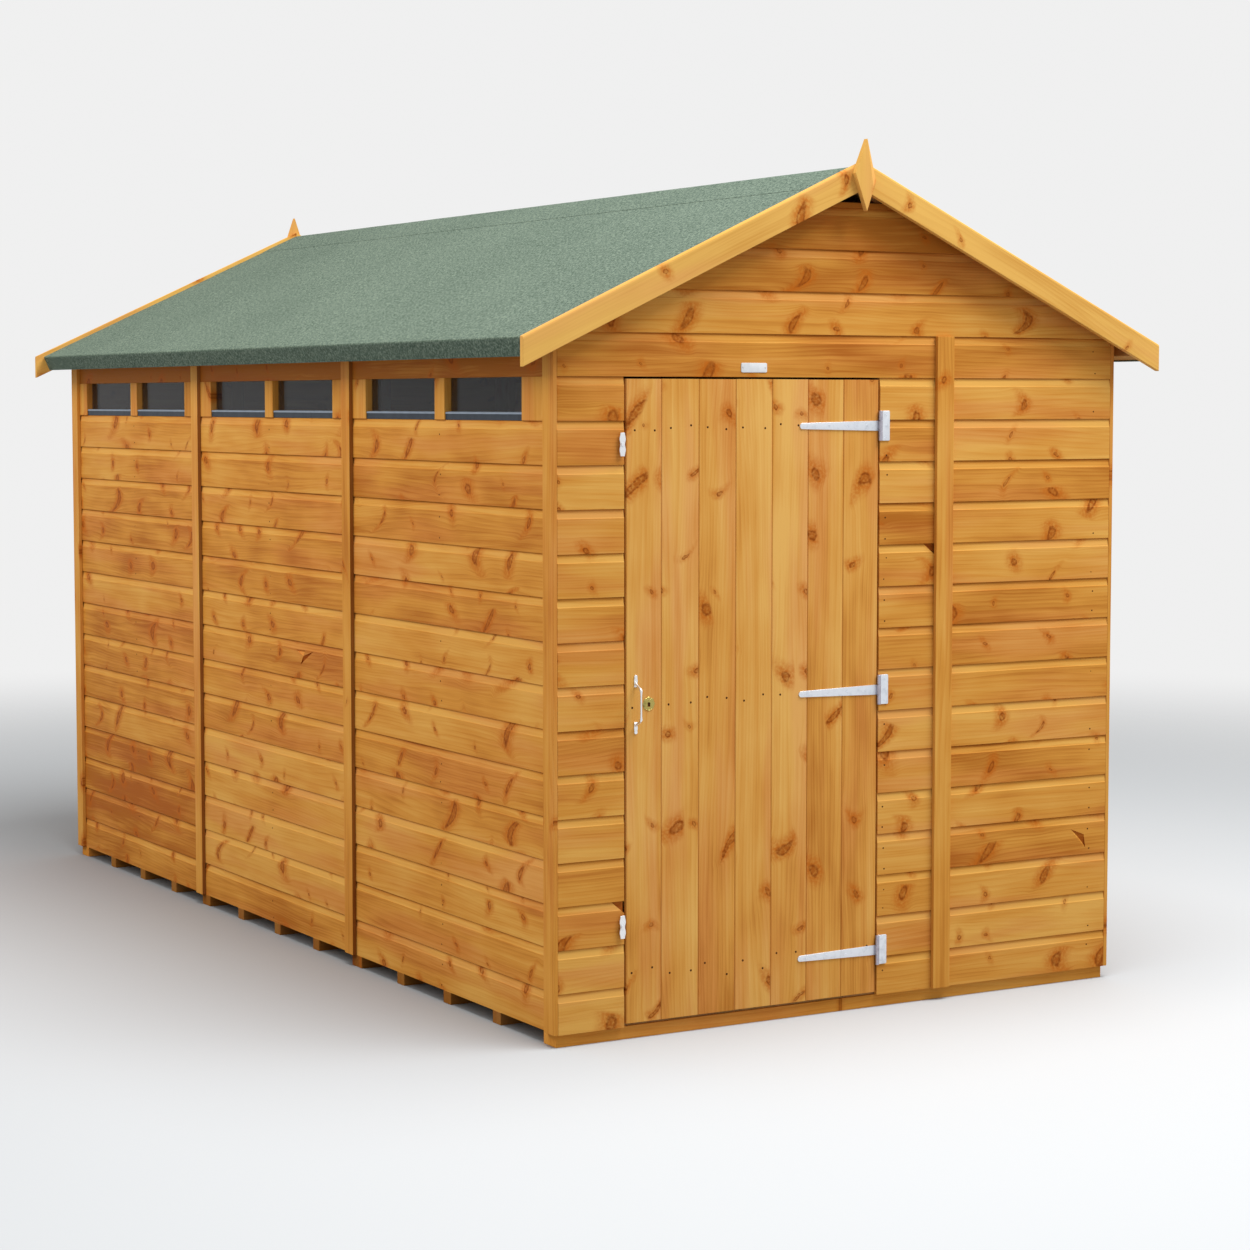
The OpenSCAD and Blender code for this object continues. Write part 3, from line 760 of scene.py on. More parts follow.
def felt_finish():
    """Mineral granules pressed into bitumen felt."""
    name = "green_felt"
    if known(name):
        return known(name)
    glint, by_glint = (0.62, 0.70, 0.60), 0.35
    by_grit, by_coarse, by_patch, by_drop_shade, balance = 1.1, 2.2, 0.20, 0.16, 1.27
    c = bpy.context.scene.shed_finishes
    material, tree = new_material(name)
    place = node(tree, "TexCoord").outputs["Object"]
    grit = speckle(tree, place, scale=330.0, detail=2.0, rough=0.7)
    coarse = speckle(tree, place, scale=150.0, detail=2.0, rough=0.6)
    patch = speckle(tree, place, scale=2.2, detail=3.0)
    spark = ramp(tree, speckle(tree, place, scale=520.0, detail=1.0), 0.62, 0.76)
    grains = grit * by_grit + (coarse * by_coarse - balance)
    amount = calc(tree, "ADD", grains, (patch - 0.5) * by_patch, clamp=True)
    # Painted shade where the felt turns down over the eaves
    amount = calc(tree, "SUBTRACT", amount, attribute(tree, "worn") * by_drop_shade, clamp=True)
    paint = mix(tree, spark * by_glint, mix(tree, amount, c.felt_dark, c.felt_pale), glint)
    coat(tree, {
        "Base Color": paint,
        "Roughness": 0.94,
        "Specular IOR Level": 0.2,
        "Normal": bumps(tree, grit + coarse, strength=0.8, depth=1.2 * MM),
    })
    return material


def metal(name, tint, rough, stain, stained):
    """Metal with fine scratches and a soft stain."""
    if known(name):
        return known(name)
    material, tree = new_material(name)
    place = node(tree, "TexCoord").outputs["Object"]
    cloud = speckle(tree, place, scale=55.0, detail=4.0, rough=0.65)
    fine = speckle(tree, place, scale=900.0, detail=2.0)
    coat(tree, {
        "Base Color": mix(tree, ramp(tree, cloud, 0.45, 0.75, 0.0, stained), tint, stain),
        "Metallic": 1.0,
        "Roughness": (cloud - 0.5) * 0.3 + rough,
        "Normal": bumps(tree, fine + cloud, strength=0.12, depth=0.3 * MM),
    })
    return material


def zinc():
    """Bright zinc plate."""
    tint = bpy.context.scene.shed_finishes.zinc
    return metal("zinc_steel", tint, rough=0.42, stain=(0.62, 0.63, 0.65), stained=0.5)


def strap_zinc():
    """Cooler zinc of the hinges."""
    tint = bpy.context.scene.shed_finishes.strap
    return metal("strap_steel", tint, rough=0.45, stain=(0.50, 0.53, 0.58), stained=0.5)


def pin_steel():
    """Steel of the hinges' knuckles and pins, painted darker as the shade in the gap between strap and plate.
    """
    tint = (0.44, 0.42, 0.48)
    return metal("pin_steel", tint, rough=0.5, stain=(0.24, 0.22, 0.26), stained=0.6)


def brass():
    """Aged brass, dark in its hollows."""
    tint = bpy.context.scene.shed_finishes.brass
    return metal("brass_trim", tint, rough=0.34, stain=(0.10, 0.085, 0.02), stained=1.0)


def nail_steel():
    """Nail heads under the wood's stain."""
    tint = (0.075, 0.026, 0.008)
    return coated("nail_head", tint, rough=0.7, shine=0.04)


def glass():
    """Grey glass with faint waves."""
    name = "window_glass"
    if known(name):
        return known(name)
    material, tree = new_material(name)
    place = node(tree, "TexCoord").outputs["Object"]
    haze = speckle(tree, place, scale=14.0, detail=3.0)
    waves = speckle(tree, place, scale=5.0, detail=1.0)
    coat(tree, {
        "Base Color": (*bpy.context.scene.shed_finishes.glass, 1),
        "IOR": 1.3,
        "Alpha": 0.4,
        "Roughness": ramp(tree, haze, 0.3, 0.8, 0.01, 0.08),
        "Normal": bumps(tree, waves, strength=0.05, depth=1 * MM),
    })
    return material


def coated(name, tint, rough, shine=0.2):
    """A painted or plastic skin with faint mottling."""
    if known(name):
        return known(name)
    mottle = 0.84
    material, tree = new_material(name)
    place = node(tree, "TexCoord").outputs["Object"]
    cloud = speckle(tree, place, scale=40.0, detail=4.0, rough=0.6)
    fine = speckle(tree, place, scale=700.0, detail=2.0)
    coat(tree, {
        "Base Color": mix(tree, ramp(tree, cloud, 0.3, 0.8), tint, shade(tint, mottle, mottle, mottle)),
        "Roughness": (cloud - 0.5) * 0.2 + rough,
        "Specular IOR Level": shine,
        "Normal": bumps(tree, fine, strength=0.1, depth=0.2 * MM),
    })
    return material


# Walls


def clad(node_name, along, seed, cuts=(), darker=lambda foot: 0.0):
    """Lapped boards in place of one flat wall panel, cut by planes where the roof is in the way."""
    sizes = bpy.context.scene.shed_boards
    luck = random.Random(seed)
    low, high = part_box(node_name)
    out = along.cross(UP)
    thick = abs((high - low).dot(out))
    back = (low + high) / 2 - out * thick / 2
    half = abs((high - low).dot(along)) / 2 - sizes.slack
    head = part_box("front_door_head")[0].z
    whole_board, least_board = 1.15 * sizes.cover, 0.98 * sizes.cover
    near, hair, most_droop = 0.01, 0.01 * MM, 0.5
    row = math.floor((low.z - head) / sizes.cover + near)
    piece = new_piece()
    while head + row * sizes.cover < high.z - MM:
        foot = head + row * sizes.cover
        top = sizes.cover + sizes.lap
        if high.z - foot < whole_board:
            top = high.z - foot
        droop = luck.uniform(0, most_droop) * MM
        board = axes(Vector((back.x, back.y, foot)) - out * droop, along, UP)
        part = extrude(shiplap(sizes, thick, max(top, least_board)), board, -half, half)
        if foot < low.z:
            clip(part, low, -UP)
        if foot + top > high.z + hair or top < sizes.cover:
            clip(part, high, UP)
        for point, outward in cuts:
            clip(part, point, outward)
        face = board[0].dot(out) + thick
        rests = []
        for name, start, end in BROKEN:
            if name == node_name and foot < end[1] < foot + sizes.cover:
                rests.append(break_corner(part, along, out, face, start, end, 2 * sizes.tear))
        for bare, spots in ((1, TORN), (2, CHIPPED)):
            for name, *corners in spots:
                if name == node_name and foot < corners[1][1] < foot + sizes.cover:
                    tear_wedge(part, along, out, face, corners, sizes.tear, bare)
        for left in [part] + rests:
            # The tone holds the wall's stain or the gable's painted shade, and the painted highlight in the
            # scoop
            join(piece, left, board, luck, lambda place: darker(foot) + scoop_painted_light(sizes, place))
        row += 1
    return finish(piece, node_name + "_boards", woods("cladding"), "shed", [node_name],
                  more_woods=("torn", "chipped"))


def nail_wall(name, along, columns, low_z, high_z, face, seed, hidden=()):
    """Two nails a board at each stud of a wall, apart from those that are filled over."""
    filled, row_shares = 0.3, (0.16, 0.66)
    stray_share, stray, sunk, foot_gap = 0.03, 5, 0.4 * MM, 10 * MM
    row_slack = 0.1
    sizes = bpy.context.scene.shed_boards
    luck = random.Random(seed)
    out = along.cross(UP)
    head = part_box("front_door_head")[0].z
    piece = new_piece()
    row = math.ceil((low_z - head) / sizes.cover - row_slack)
    while head + row * sizes.cover < high_z - sizes.cover / 2:
        foot = head + row * sizes.cover
        for column in columns:
            for share_up in row_shares:
                if luck.random() < filled:
                    continue
                z = foot + sizes.cover * (share_up + luck.uniform(-stray_share, stray_share))
                place = along * (column + luck.uniform(-stray, stray) * MM) + UP * z
                if z > low_z + foot_gap and not any(test(place) for test in hidden):
                    nail_head(piece, place + out * (face - sunk), out, sizes.nail, luck)
        row += 1
    return finish(piece, name, nail_steel(), "shed")


class SHED_OT_cladding(bpy.types.Operator):
    """Clads the four walls with lapped boards and nails them to the studs"""

    bl_idname = "shed.cladding"
    bl_label = "Cladding"

    def execute(self, context):
        stains = {"rear": 0.45, "middle": 0.1, "front": 0.1}
        for side, along in (("left", LEFT), ("right", RIGHT)):
            for where, stain in stains.items():
                clad(f"{side}_wall_{where}", along, f"{side} {where}", darker=lambda foot: stain)
        for name in ("latch_side", "hinge_side", "door_head", "narrow_panel"):
            clad("front_" + name, FRONT, name)
        for name in ("wide_panel", "narrow_panel"):
            clad("back_" + name, BACK, "back " + name)
        for end, along in (("front", FRONT), ("back", BACK)):
            # Gable boards carry painted shade that deepens towards the apex
            clad(end + "_gable", along, end + " gable", self.roof_cuts(end + "_gable"), self.gable_shade)
        self.nails()
        return {"FINISHED"}

    @staticmethod
    def gable_shade(foot):
        """How much darker a gable board is painted, as painted shade under the barge boards: most at the
        apex.
        """
        most, gather = 1.9, 1.8
        low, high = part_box("front_gable")
        return most * max(0.0, (foot - low.z) / (high.z - low.z)) ** gather

    def roof_cuts(self, node_name):
        """The two planes of the roof's underside over a gable."""
        points = [point.co for point in frame["nodes"][node_name].data.vertices]
        side = max(point.x for point in points)
        wall_top = max(point.z for point in points if point.x > side - MM)
        crown = max(point.z for point in points)
        crown_half = max(point.x for point in points if point.z > crown - MM)
        run, rise = side - crown_half, crown - wall_top
        cuts = []
        for sign in (1, -1):
            cuts.append((Vector((sign * side, 0, wall_top)), Vector((sign * rise, 0, run)).normalized()))
        return cuts

    def nails(self):
        """Nails over the studs of each wall."""
        for side, along in (("left", LEFT), ("right", RIGHT)):
            low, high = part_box(side + "_wall_rear")
            columns = [middle_of(part).dot(along) for part in solids(side + "_studs")]
            face = max(abs(low.x), abs(high.x))
            nail_wall(side + "_wall_nails", along, columns, low.z, high.z, face, side + " nails")
        for end, along in (("front", FRONT), ("back", BACK)):
            low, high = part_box(end + "_narrow_panel")
            columns = [middle_of(part).dot(along) for part in solids(end + "_studs")]
            if end == "front":
                columns = [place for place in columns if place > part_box("door_leaf")[0].x]
            face = max(abs(low.y), abs(high.y))
            hidden = [self.in_doorway] if end == "front" else []
            nail_wall(end + "_wall_nails", along, columns, low.z, high.z, face, end + " nails", hidden)

    @staticmethod
    def in_doorway(place):
        """True over the door, where no board is nailed."""
        low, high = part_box("door_leaf")
        clear = 8 * MM
        return low.x - clear < place.x < high.x + clear and place.z < high.z + clear


class SHED_OT_framing(bpy.types.Operator):
    """Saws the joists, rails, studs, rafters, purlins and battens"""

    bl_idname = "shed.framing"
    bl_label = "Framing"

    def execute(self, context):
        timbers("floor_joists", "floor_joist_timbers", woods("joist"), "shed", "joists",
                dirty=self.shaded_under_shed)
        for name in ("left_rails", "left_studs", "right_rails", "right_studs", "front_rails", "front_studs",
                     "back_rails", "back_studs", "left_rafters", "right_rafters", "purlins", "eaves_battens"):
            timbers(name, name + "_sawn", woods("frame"), "shed", name)
        return {"FINISHED"}

    @staticmethod
    def shaded_under_shed(face):
        """True on the joists' ends and inner sides, which are painted dark as the shade under the shed, but
        not on the end joists.
        """
        end_joist, facing = 80 * MM, 0.7
        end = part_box("floor_joists")[1].y - end_joist
        place = abs(face.calc_center_median().y)
        return place < end and max(abs(face.normal.x), abs(face.normal.y)) > facing


def boarding(board, start, end, widths, thick, seed, tears=(), shade_fade=0.0):
    """Tongued boards side by side, with wedges torn out of them and a painted shade that grows along them."""
    most_short = 0.6
    sizes = bpy.context.scene.shed_boards
    luck = random.Random(seed)
    piece = new_piece()
    origin, along, across, out = board
    edge = 0.0
    for i, wide in enumerate(widths):
        place = axes(origin + across * edge, along, across)
        outline = tongued(wide, thick, sizes, i == 0, i == len(widths) - 1)
        foot = start + luck.uniform(0, most_short) * MM
        part = extrude(outline, place, foot, end - luck.uniform(0, most_short) * MM)
        first = place[0].dot(across)
        for corners in tears:
            if all(first < corner[0] < first + wide for corner in corners):
                tear_wedge(part, across, out, place[0].dot(out) + thick, corners, sizes.tear)
        # Painted shade along each board, darker towards one end
        join(piece, part, place, luck, lambda spot: shade_fade * (0.5 - spot.x / (end - start)))
        edge += wide
    return piece


def even_widths(total, wide):
    """Widths of whole boards that fill a span."""
    count = max(1, round(total / wide))
    return [total / count] * count


class SHED_OT_floor(bpy.types.Operator):
    """Lays the floor boards across the joists"""

    bl_idname = "shed.floor"
    bl_label = "Floor"

    def execute(self, context):
        sizes = context.scene.shed_boards
        low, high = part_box("floor_boards")
        board = axes(Vector((high.x, (low.y + high.y) / 2, low.z)), RIGHT, -FRONT)
        half = (high.y - low.y) / 2
        widths = even_widths(high.x - low.x, sizes.floor_board)
        piece = boarding(board, -half, half, widths, high.z - low.z, "floor")
        finish(piece, "floor_boarding", woods("floor"), "shed", ["floor_boards"])
        return {"FINISHED"}


class SHED_OT_windows(bpy.types.Operator):
    """Sets the window posts, the boards over them, the panes and their beads"""

    bl_idname = "shed.windows"
    bl_label = "Windows"

    def execute(self, context):
        polish = 0.4 * MM
        shaded = 1.3
        timbers("left_window_posts", "window_post_timbers", woods("strip"), "shed", "posts",
                along=UP)
        timbers("left_window_heads", "window_head_boards", woods("cladding"), "shed",
                "heads", along=RIGHT, darker=shaded)
        timbers("window_panes", "window_glass_panes", glass(), "shed", "panes",
                round_by=polish)
        self.beads()
        return {"FINISHED"}

    def beads(self):
        """A dark strip along the foot of each pane, painted dark as shade, under a pale one that is sloped to
        shed water and painted pale as a highlight.
        """
        step = 0.72
        foot_shares = ((0.0, 0.0), (step, 0.0), (step, 0.94), (0.96 * step, 0.96), (0.0, 0.96))
        nose_shares = ((step, 0.0), (1.0, 0.0), (1.0, 0.35), (0.93, 0.94), (0.86, 1.0), (step, 1.0))
        colours = bpy.context.scene.shed_finishes
        dark, pale = new_piece(), new_piece()
        luck = random.Random("beads")
        for part in solids("window_beads"):
            low, high = box_of(part)
            deep, tall = high.x - low.x, high.z - low.z
            half = (high.y - low.y) / 2
            board = axes(Vector((high.x, (low.y + high.y) / 2, low.z)), LEFT, UP)
            part.free()
            for piece, shares in ((dark, foot_shares), (pale, nose_shares)):
                outline = [(up * tall, out * deep) for up, out in shares]
                join(piece, extrude(outline, board, -half, half), board, luck)
        foot = coated("glazing_bead", tuple(colours.bead), rough=0.5)
        nose = coated("glazing_nose", tuple(colours.bead_highlight), rough=0.45)
        finish(dark, "window_bead_feet", foot, "shed", ["window_beads"])
        finish(pale, "window_bead_noses", nose, "shed")


# Roof


class SHED_OT_roof(bpy.types.Operator):
    """Boards the roof and lays the felt over it"""

    bl_idname = "shed.roof"
    bl_label = "Roof"

    def execute(self, context):
        for side, name in ((-1, "left"), (1, "right")):
            self.boards(side, name)
            self.felt(side, name)
        self.ridge()
        return {"FINISHED"}

    def slope(self, node_name, side):
        """Top of a layer at the middle, its fall over one metre and its reach from the middle."""
        points = [point.co for point in frame["nodes"][node_name].data.vertices]
        reach = max(side * point.x for point in points)
        crown = max(point.z for point in points)
        edge = max(point.z for point in points if side * point.x > reach - MM)
        return crown, (crown - edge) / reach, reach

    def boards(self, side, name):
        """Tongued boards along the roof, their joints showing underneath."""
        eaves_gap = 3 * MM
        sizes = bpy.context.scene.shed_boards
        thick = sizes.roof_thick
        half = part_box(name + "_roof_boards")[1].y
        crown, fall, reach = self.slope(name + "_roof_boards", side)
        down = Vector((side, 0, -fall)).normalized()
        along = RIGHT * side
        start = Vector((0, 0, crown)) + down * thick * fall
        board = axes(start, along, down)
        if board[3].z > 0:
            board = axes(start, -along, down)
        span = reach * math.sqrt(1 + fall * fall) - thick * fall - eaves_gap
        piece = boarding(board, -half, half, even_widths(span, sizes.roof_board), thick, name + " roof")
        finish(piece, name + "_roof_boarding", woods("roof"), "shed", [name + "_roof_boards"])

    def sheet(self, path, half, thick, swell, seed):
        """A sheet along the roof that follows a path of places and outward directions, slightly wavy."""
        runs = 150
        long_wave, short_wave, short_share = 5, 17, 0.25
        upright = 0.8
        piece = bmesh.new()
        worn = piece.verts.layers.float.new("worn")
        rows = []
        for j in range(runs + 1):
            y = -half + 2 * half * j / runs
            row = []
            for place, out, hold in path:
                waves = [noise.noise(Vector((place.x * wave, y * wave, place.z * wave + seed)))
                         for wave in (long_wave, short_wave)]
                sink = 0.5 + 0.5 * waves[0] + short_share * waves[1]
                row.append(Vector((place.x, y, place.z)) - out * swell * max(0.0, sink) * hold)
            rows.append(row)
        top = [[piece.verts.new(point) for point in row] for row in rows]
        foot = [[piece.verts.new(point - path[i][1] * thick) for i, point in enumerate(row)] for row in rows]
        # Painted shade on the felt: the further a face turns from facing up, as on the drop over the batten,
        # the darker it is painted
        for row in top + foot:
            for i, point in enumerate(row):
                point[worn] = min(1.0, max(0.0, 1.0 - path[i][1].z / upright))
        last = len(path) - 1
        for j in range(runs):
            for i in range(last):
                piece.faces.new((top[j][i], top[j][i + 1], top[j + 1][i + 1], top[j + 1][i]))
                piece.faces.new((foot[j][i], foot[j + 1][i], foot[j + 1][i + 1], foot[j][i + 1]))
            for i in (0, last):
                piece.faces.new((top[j][i], top[j + 1][i], foot[j + 1][i], foot[j][i]))
        for j in (0, runs):
            for i in range(last):
                piece.faces.new((top[j][i], top[j][i + 1], foot[j][i + 1], foot[j][i]))
        bmesh.ops.recalc_face_normals(piece, faces=piece.faces)
        return piece

    def felt(self, side, name):
        """One sheet from the ridge, round a fold at the eaves and down over the batten."""
        roof = bpy.context.scene.shed_roof
        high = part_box(name + "_felt")[1]
        points = [point.co for point in frame["nodes"][name + "_felt"].data.vertices]
        flat = Vector((1, 0, 1))
        fold = max(points, key=lambda point: side * point.x) * flat
        foot = min(points, key=lambda point: point.z) * flat
        crown = max(point.z for point in points)
        tilt = math.atan((crown - fold.z) / abs(fold.x))
        up = Vector((side * math.sin(tilt), 0, math.cos(tilt)))
        out = Vector((side * math.cos(tilt), 0, -math.sin(tilt)))
        steps, bends, drops = 40, 7, 8
        top = Vector((0, 0, crown))
        flat_end = fold - out * roof.fold
        path = [(top.lerp(flat_end, i / steps), up, 0.0 if i < steps / 3 else 1.0) for i in range(steps)]
        middle = flat_end - up * roof.fold
        for i in range(bends + 1):
            turn = math.pi / 2 * i / bends
            way = up * math.cos(turn) + out * math.sin(turn)
            path.append((middle + way * roof.fold, way, 1.0))
        bend_end = fold - up * roof.fold
        path += [(bend_end.lerp(foot, i / drops), out, 1.0) for i in range(1, drops + 1)]
        piece = self.sheet(path, high.y, roof.felt, roof.swell, 3.0 * side)
        finish(piece, name + "_felt_sheet", felt_finish(), "shed", [name + "_felt"], smooth=0.9)

    def ridge(self):
        """The strip over the ridge, its edges lying on the felt."""
        steps, thin_steps = 16, 5
        soft, feather, calm = 2.8 * MM, 1.3 * MM, 0.6
        roof = bpy.context.scene.shed_roof
        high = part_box("ridge_felt")[1]
        points = [point.co for point in frame["nodes"]["ridge_felt"].data.vertices]
        crown = max(point.z for point in points)
        edge = max(point.z for point in points if point.x > high.x - MM)
        fall = (crown - edge) / high.x
        path = []
        for i in range(-steps, steps + 1):
            x = high.x * i / steps
            over = math.sqrt(x * x + soft * soft)
            lean = math.atan(fall * x / over)
            thin = feather * max(0.0, 1 - (steps - abs(i)) / thin_steps) ** 1.3
            place = Vector((x, 0, crown - thin - over * fall))
            path.append((place, Vector((math.sin(lean), 0, math.cos(lean))), 1.0 - abs(i) / steps))
        piece = self.sheet(path, high.y, roof.felt, roof.swell * calm, 11.0)
        finish(piece, "ridge_felt_strip", felt_finish(), "shed", ["ridge_felt"], smooth=0.9)


class SHED_OT_trim(bpy.types.Operator):
    """Fixes the cover strips, the barge boards and the finials"""

    bl_idname = "shed.trim"
    bl_label = "Trim"

    def execute(self, context):
        for name, dirty in (("side_cover_strips", self.shaded_strip_edge), ("gable_cover_strips", None)):
            timbers(name, name + "_planed", woods("strip"), "shed", name, dirty=dirty)
        self.barges()
        self.finials()
        return {"FINISHED"}

    @staticmethod
    def shaded_strip_edge(face):
        """True on the side faces of the strips between panels, which are painted dark as shade."""
        facing = 0.7
        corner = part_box("left_wall_front")[0].y / 2
        return abs(face.normal.y) > facing and abs(face.calc_center_median().y) < abs(corner)

    def barges(self):
        """Barge boards with a chamfer along the top of their faces."""
        upward = 0.5
        sizes = bpy.context.scene.shed_boards
        chamfer = bpy.context.scene.shed_roof.barge_chamfer
        for name in ("left_barge_boards", "right_barge_boards"):
            luck = random.Random(name)
            piece = new_piece()
            for part in solids(name):
                board = timber_axes(part)
                away = 1 if middle_of(part).y > 0 else -1
                front = max(away * point.co.y for point in part.verts)
                face_edges = [edge for edge in part.edges
                              if all(away * point.co.y > front - MM for point in edge.verts)]
                top = [edge for edge in face_edges if any(f.normal.z > upward for f in edge.link_faces)]
                bmesh.ops.bevel(part, geom=top, offset=chamfer, segments=3, profile=0.5, affect="EDGES")
                soften(part, sizes.arris)
                join(piece, part, board, luck)
            finish(piece, name + "_planed", woods("barge"), "shed", [name])

    def finials(self):
        """Flat diamonds with one side bevelled away from a corner that stands off the middle."""
        roof = bpy.context.scene.shed_roof
        arris = bpy.context.scene.shed_boards.arris
        luck = random.Random("finials")
        piece = new_piece()
        for part in solids("finials"):
            board = timber_axes(part, along=UP)
            away = 1 if middle_of(part).y > 0 else -1
            low, high = box_of(part)
            middle = (low.x + high.x) / 2
            back, front = sorted((low.y, high.y), key=lambda y: away * y)
            face = next(f for f in part.faces if all(abs(v.co.y - front) < MM for v in f.verts))
            outline = [v.co.copy() for v in face.verts]
            part.free()
            part = bmesh.new()
            bevelled = [-away * (point.x - middle) > MM for point in outline]
            rear = [part.verts.new((point.x, back, point.z)) for point in outline]
            fore = [part.verts.new((point.x, front - away * roof.finial_slope * cut, point.z))
                    for point, cut in zip(outline, bevelled)]
            corner = part.verts.new((middle - away * roof.finial_shift, front,
                                     high.z + (low.z - high.z) * roof.finial_peak))
            part.faces.new(rear)
            flat = []
            for i in range(len(outline)):
                part.faces.new((rear[i - 1], rear[i], fore[i], fore[i - 1]))
                if bevelled[i - 1] or bevelled[i]:
                    part.faces.new((fore[i - 1], fore[i], corner))
                if not bevelled[i]:
                    flat.append(fore[i])
                elif not bevelled[i - 1]:
                    flat.append(corner)
            part.faces.new(flat)
            bmesh.ops.recalc_face_normals(part, faces=part.faces)
            soften(part, arris / 3, 1, 0.2)
            join(piece, part, board, luck)
        finish(piece, "finial_diamonds", woods("barge"), "shed", ["finials"])


# Door and ironwork


def face_point(x, z, proud=0.0):
    """A point on the front of the shed or proud of it."""
    return Vector((x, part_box("door_leaf")[0].y - proud, z))


def cut_plate(outline, proud, thick, edge):
    """A pressed plate on the front of the shed, from an outline in width and height."""
    hair = 0.001 * MM
    part = tube([[face_point(x, z, rise) for x, z in outline] for rise in (proud, proud + thick)])
    front = min(point.co.y for point in part.verts)
    rim = [e for e in part.edges if all(point.co.y < front + hair for point in e.verts)]
    bmesh.ops.bevel(part, geom=rim, offset=edge, segments=3, profile=0.5, affect="EDGES", clamp_overlap=True)
    return part


def upright_ring(point, radius, z, sides):
    """Places round an upright axis at one height."""
    return circle(Vector((point.x, point.y, z)), Vector((1, 0, 0)), Vector((0, 1, 0)), radius, sides)


def barrel(point, radius, bore, low, high, edge):
    """A rolled knuckle round an upright pin."""
    sides = 28
    outline = [(bore, low), (radius - edge, low), (radius, low + edge), (radius, high - edge),
               (radius - edge, high), (bore, high)]
    part = bmesh.new()
    rings = [[part.verts.new(place) for place in upright_ring(point, r, z, sides)] for r, z in outline]
    skin(part, rings + rings[:1])
    bmesh.ops.recalc_face_normals(part, faces=part.faces)
    return part


def pin_rod(point, radius, low, high):
    """A round pin with domed ends."""
    sides, dome, dome_share = 24, 3, 0.4
    turns = [math.pi / 2 * i / dome for i in range(1, dome + 1)]
    outline = [(radius * math.sin(t), low + radius * dome_share * (1 - math.cos(t))) for t in turns]
    outline += [(r, high + low - z) for r, z in reversed(outline)]
    return tube([upright_ring(point, r, z, sides) for r, z in outline])


def turned(a, b, turn):
    """A flat point turned round the middle."""
    c, s = math.cos(turn), math.sin(turn)
    return c * a - s * b, s * a + c * b


def screw_head(x, z, proud, radius, spin):
    """A countersunk head with a cross slot, seated in a plate."""
    rim, bowl, sunk = 0.35 * MM, 0.45 * MM, 0.2 * MM
    slot, flat = 0.17 * radius, 0.92 * radius
    steps, sides = 5, 24
    part = bmesh.new()

    def at(a, b, rise):
        over, up = turned(a, b, spin)
        return part.verts.new(face_point(x + over, z + up, proud + rise))

    disc = arc_points(0, 0, radius, 0, 360 - 360 / sides, sides - 1)
    base = part.faces.new([at(a, b, 0) for a, b in disc])
    corner = math.degrees(math.atan2(slot, flat))
    sector = [(slot, slot)] + arc_points(0, 0, flat, corner, 90 - corner, steps)
    for quarter in range(4):
        places = [turned(a, b, quarter * math.pi / 2) for a, b in sector]
        low = [at(a, b, -sunk) for a, b in places]
        high = [at(a, b, rim + bowl * (1 - (a * a + b * b) / (radius * radius))) for a, b in places]
        skin(part, (low, high))
        part.faces.new(high)
    bmesh.ops.recalc_face_normals(part, faces=[face for face in part.faces if face != base])
    return part


def arc_points(x, z, radius, start, end, steps):
    """Points on an arc, in width and height."""
    turns = [math.radians(start + (end - start) * i / steps) for i in range(steps + 1)]
    return [(x + radius * math.cos(t), z + radius * math.sin(t)) for t in turns]


def add_metal(piece, part):
    """Adds a metal part to a piece."""
    join(piece, part, axes((0, 0, 0), FRONT, UP), random.Random(0))


# A hair's breadth between the ironwork and the boards under it
SEAT = 0.05 * MM


class SHED_OT_door(bpy.types.Operator):
    """Boards the door, fixes its ledges and nails them together"""

    bl_idname = "shed.door"
    bl_label = "Door"

    def execute(self, context):
        sizes = context.scene.shed_boards
        low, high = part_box("door_leaf")
        board = axes(Vector((low.x, high.y, (low.z + high.z) / 2)), -UP, FRONT)
        if board[3].y > 0:
            board = axes(board[0], UP, FRONT)
        half = (high.z - low.z) / 2
        rest = sizes.door_boards - 1
        widths = [sizes.door_edge] + [(high.x - low.x - sizes.door_edge) / rest] * rest
        tears = [corners for name, *corners in TORN if name == "door_leaf"]
        # The door's boards are painted darker towards the bottom, as painted shade
        shade_fade = 0.5 * board[1].z
        piece = boarding(board, -half, half, widths, high.y - low.y, "door", tears, shade_fade)
        finish(piece, "door_boarding", woods("door"), "door", ["door_leaf"],
               more_woods=("torn",))
        timbers("door_ledges", "door_ledge_boards", woods("door"), "door", "ledges")
        self.nails(low, widths)
        return {"FINISHED"}

    def nails(self, low, widths):
        """Two nails a board at each ledge, scattered most along the lowest one."""
        stray_share, low_stray, stray, low_ledge = 0.05, 24, 9, 0.5
        board_shares = (0.2, 0.76)
        size = 1.25 * bpy.context.scene.shed_boards.nail
        luck = random.Random("door nails")
        piece = new_piece()
        for part in solids("door_ledges"):
            level = middle_of(part).z
            edge = low.x
            for wide in widths:
                for share_over in board_shares:
                    x = edge + wide * (share_over + luck.uniform(-stray_share, stray_share))
                    z = level + luck.uniform(-1, 1) * (low_stray if level < low_ledge else stray) * MM
                    nail_head(piece, face_point(x, z), FRONT.cross(UP), size, luck)
                edge += wide
            part.free()
        finish(piece, "door_nails", nail_steel(), "door")


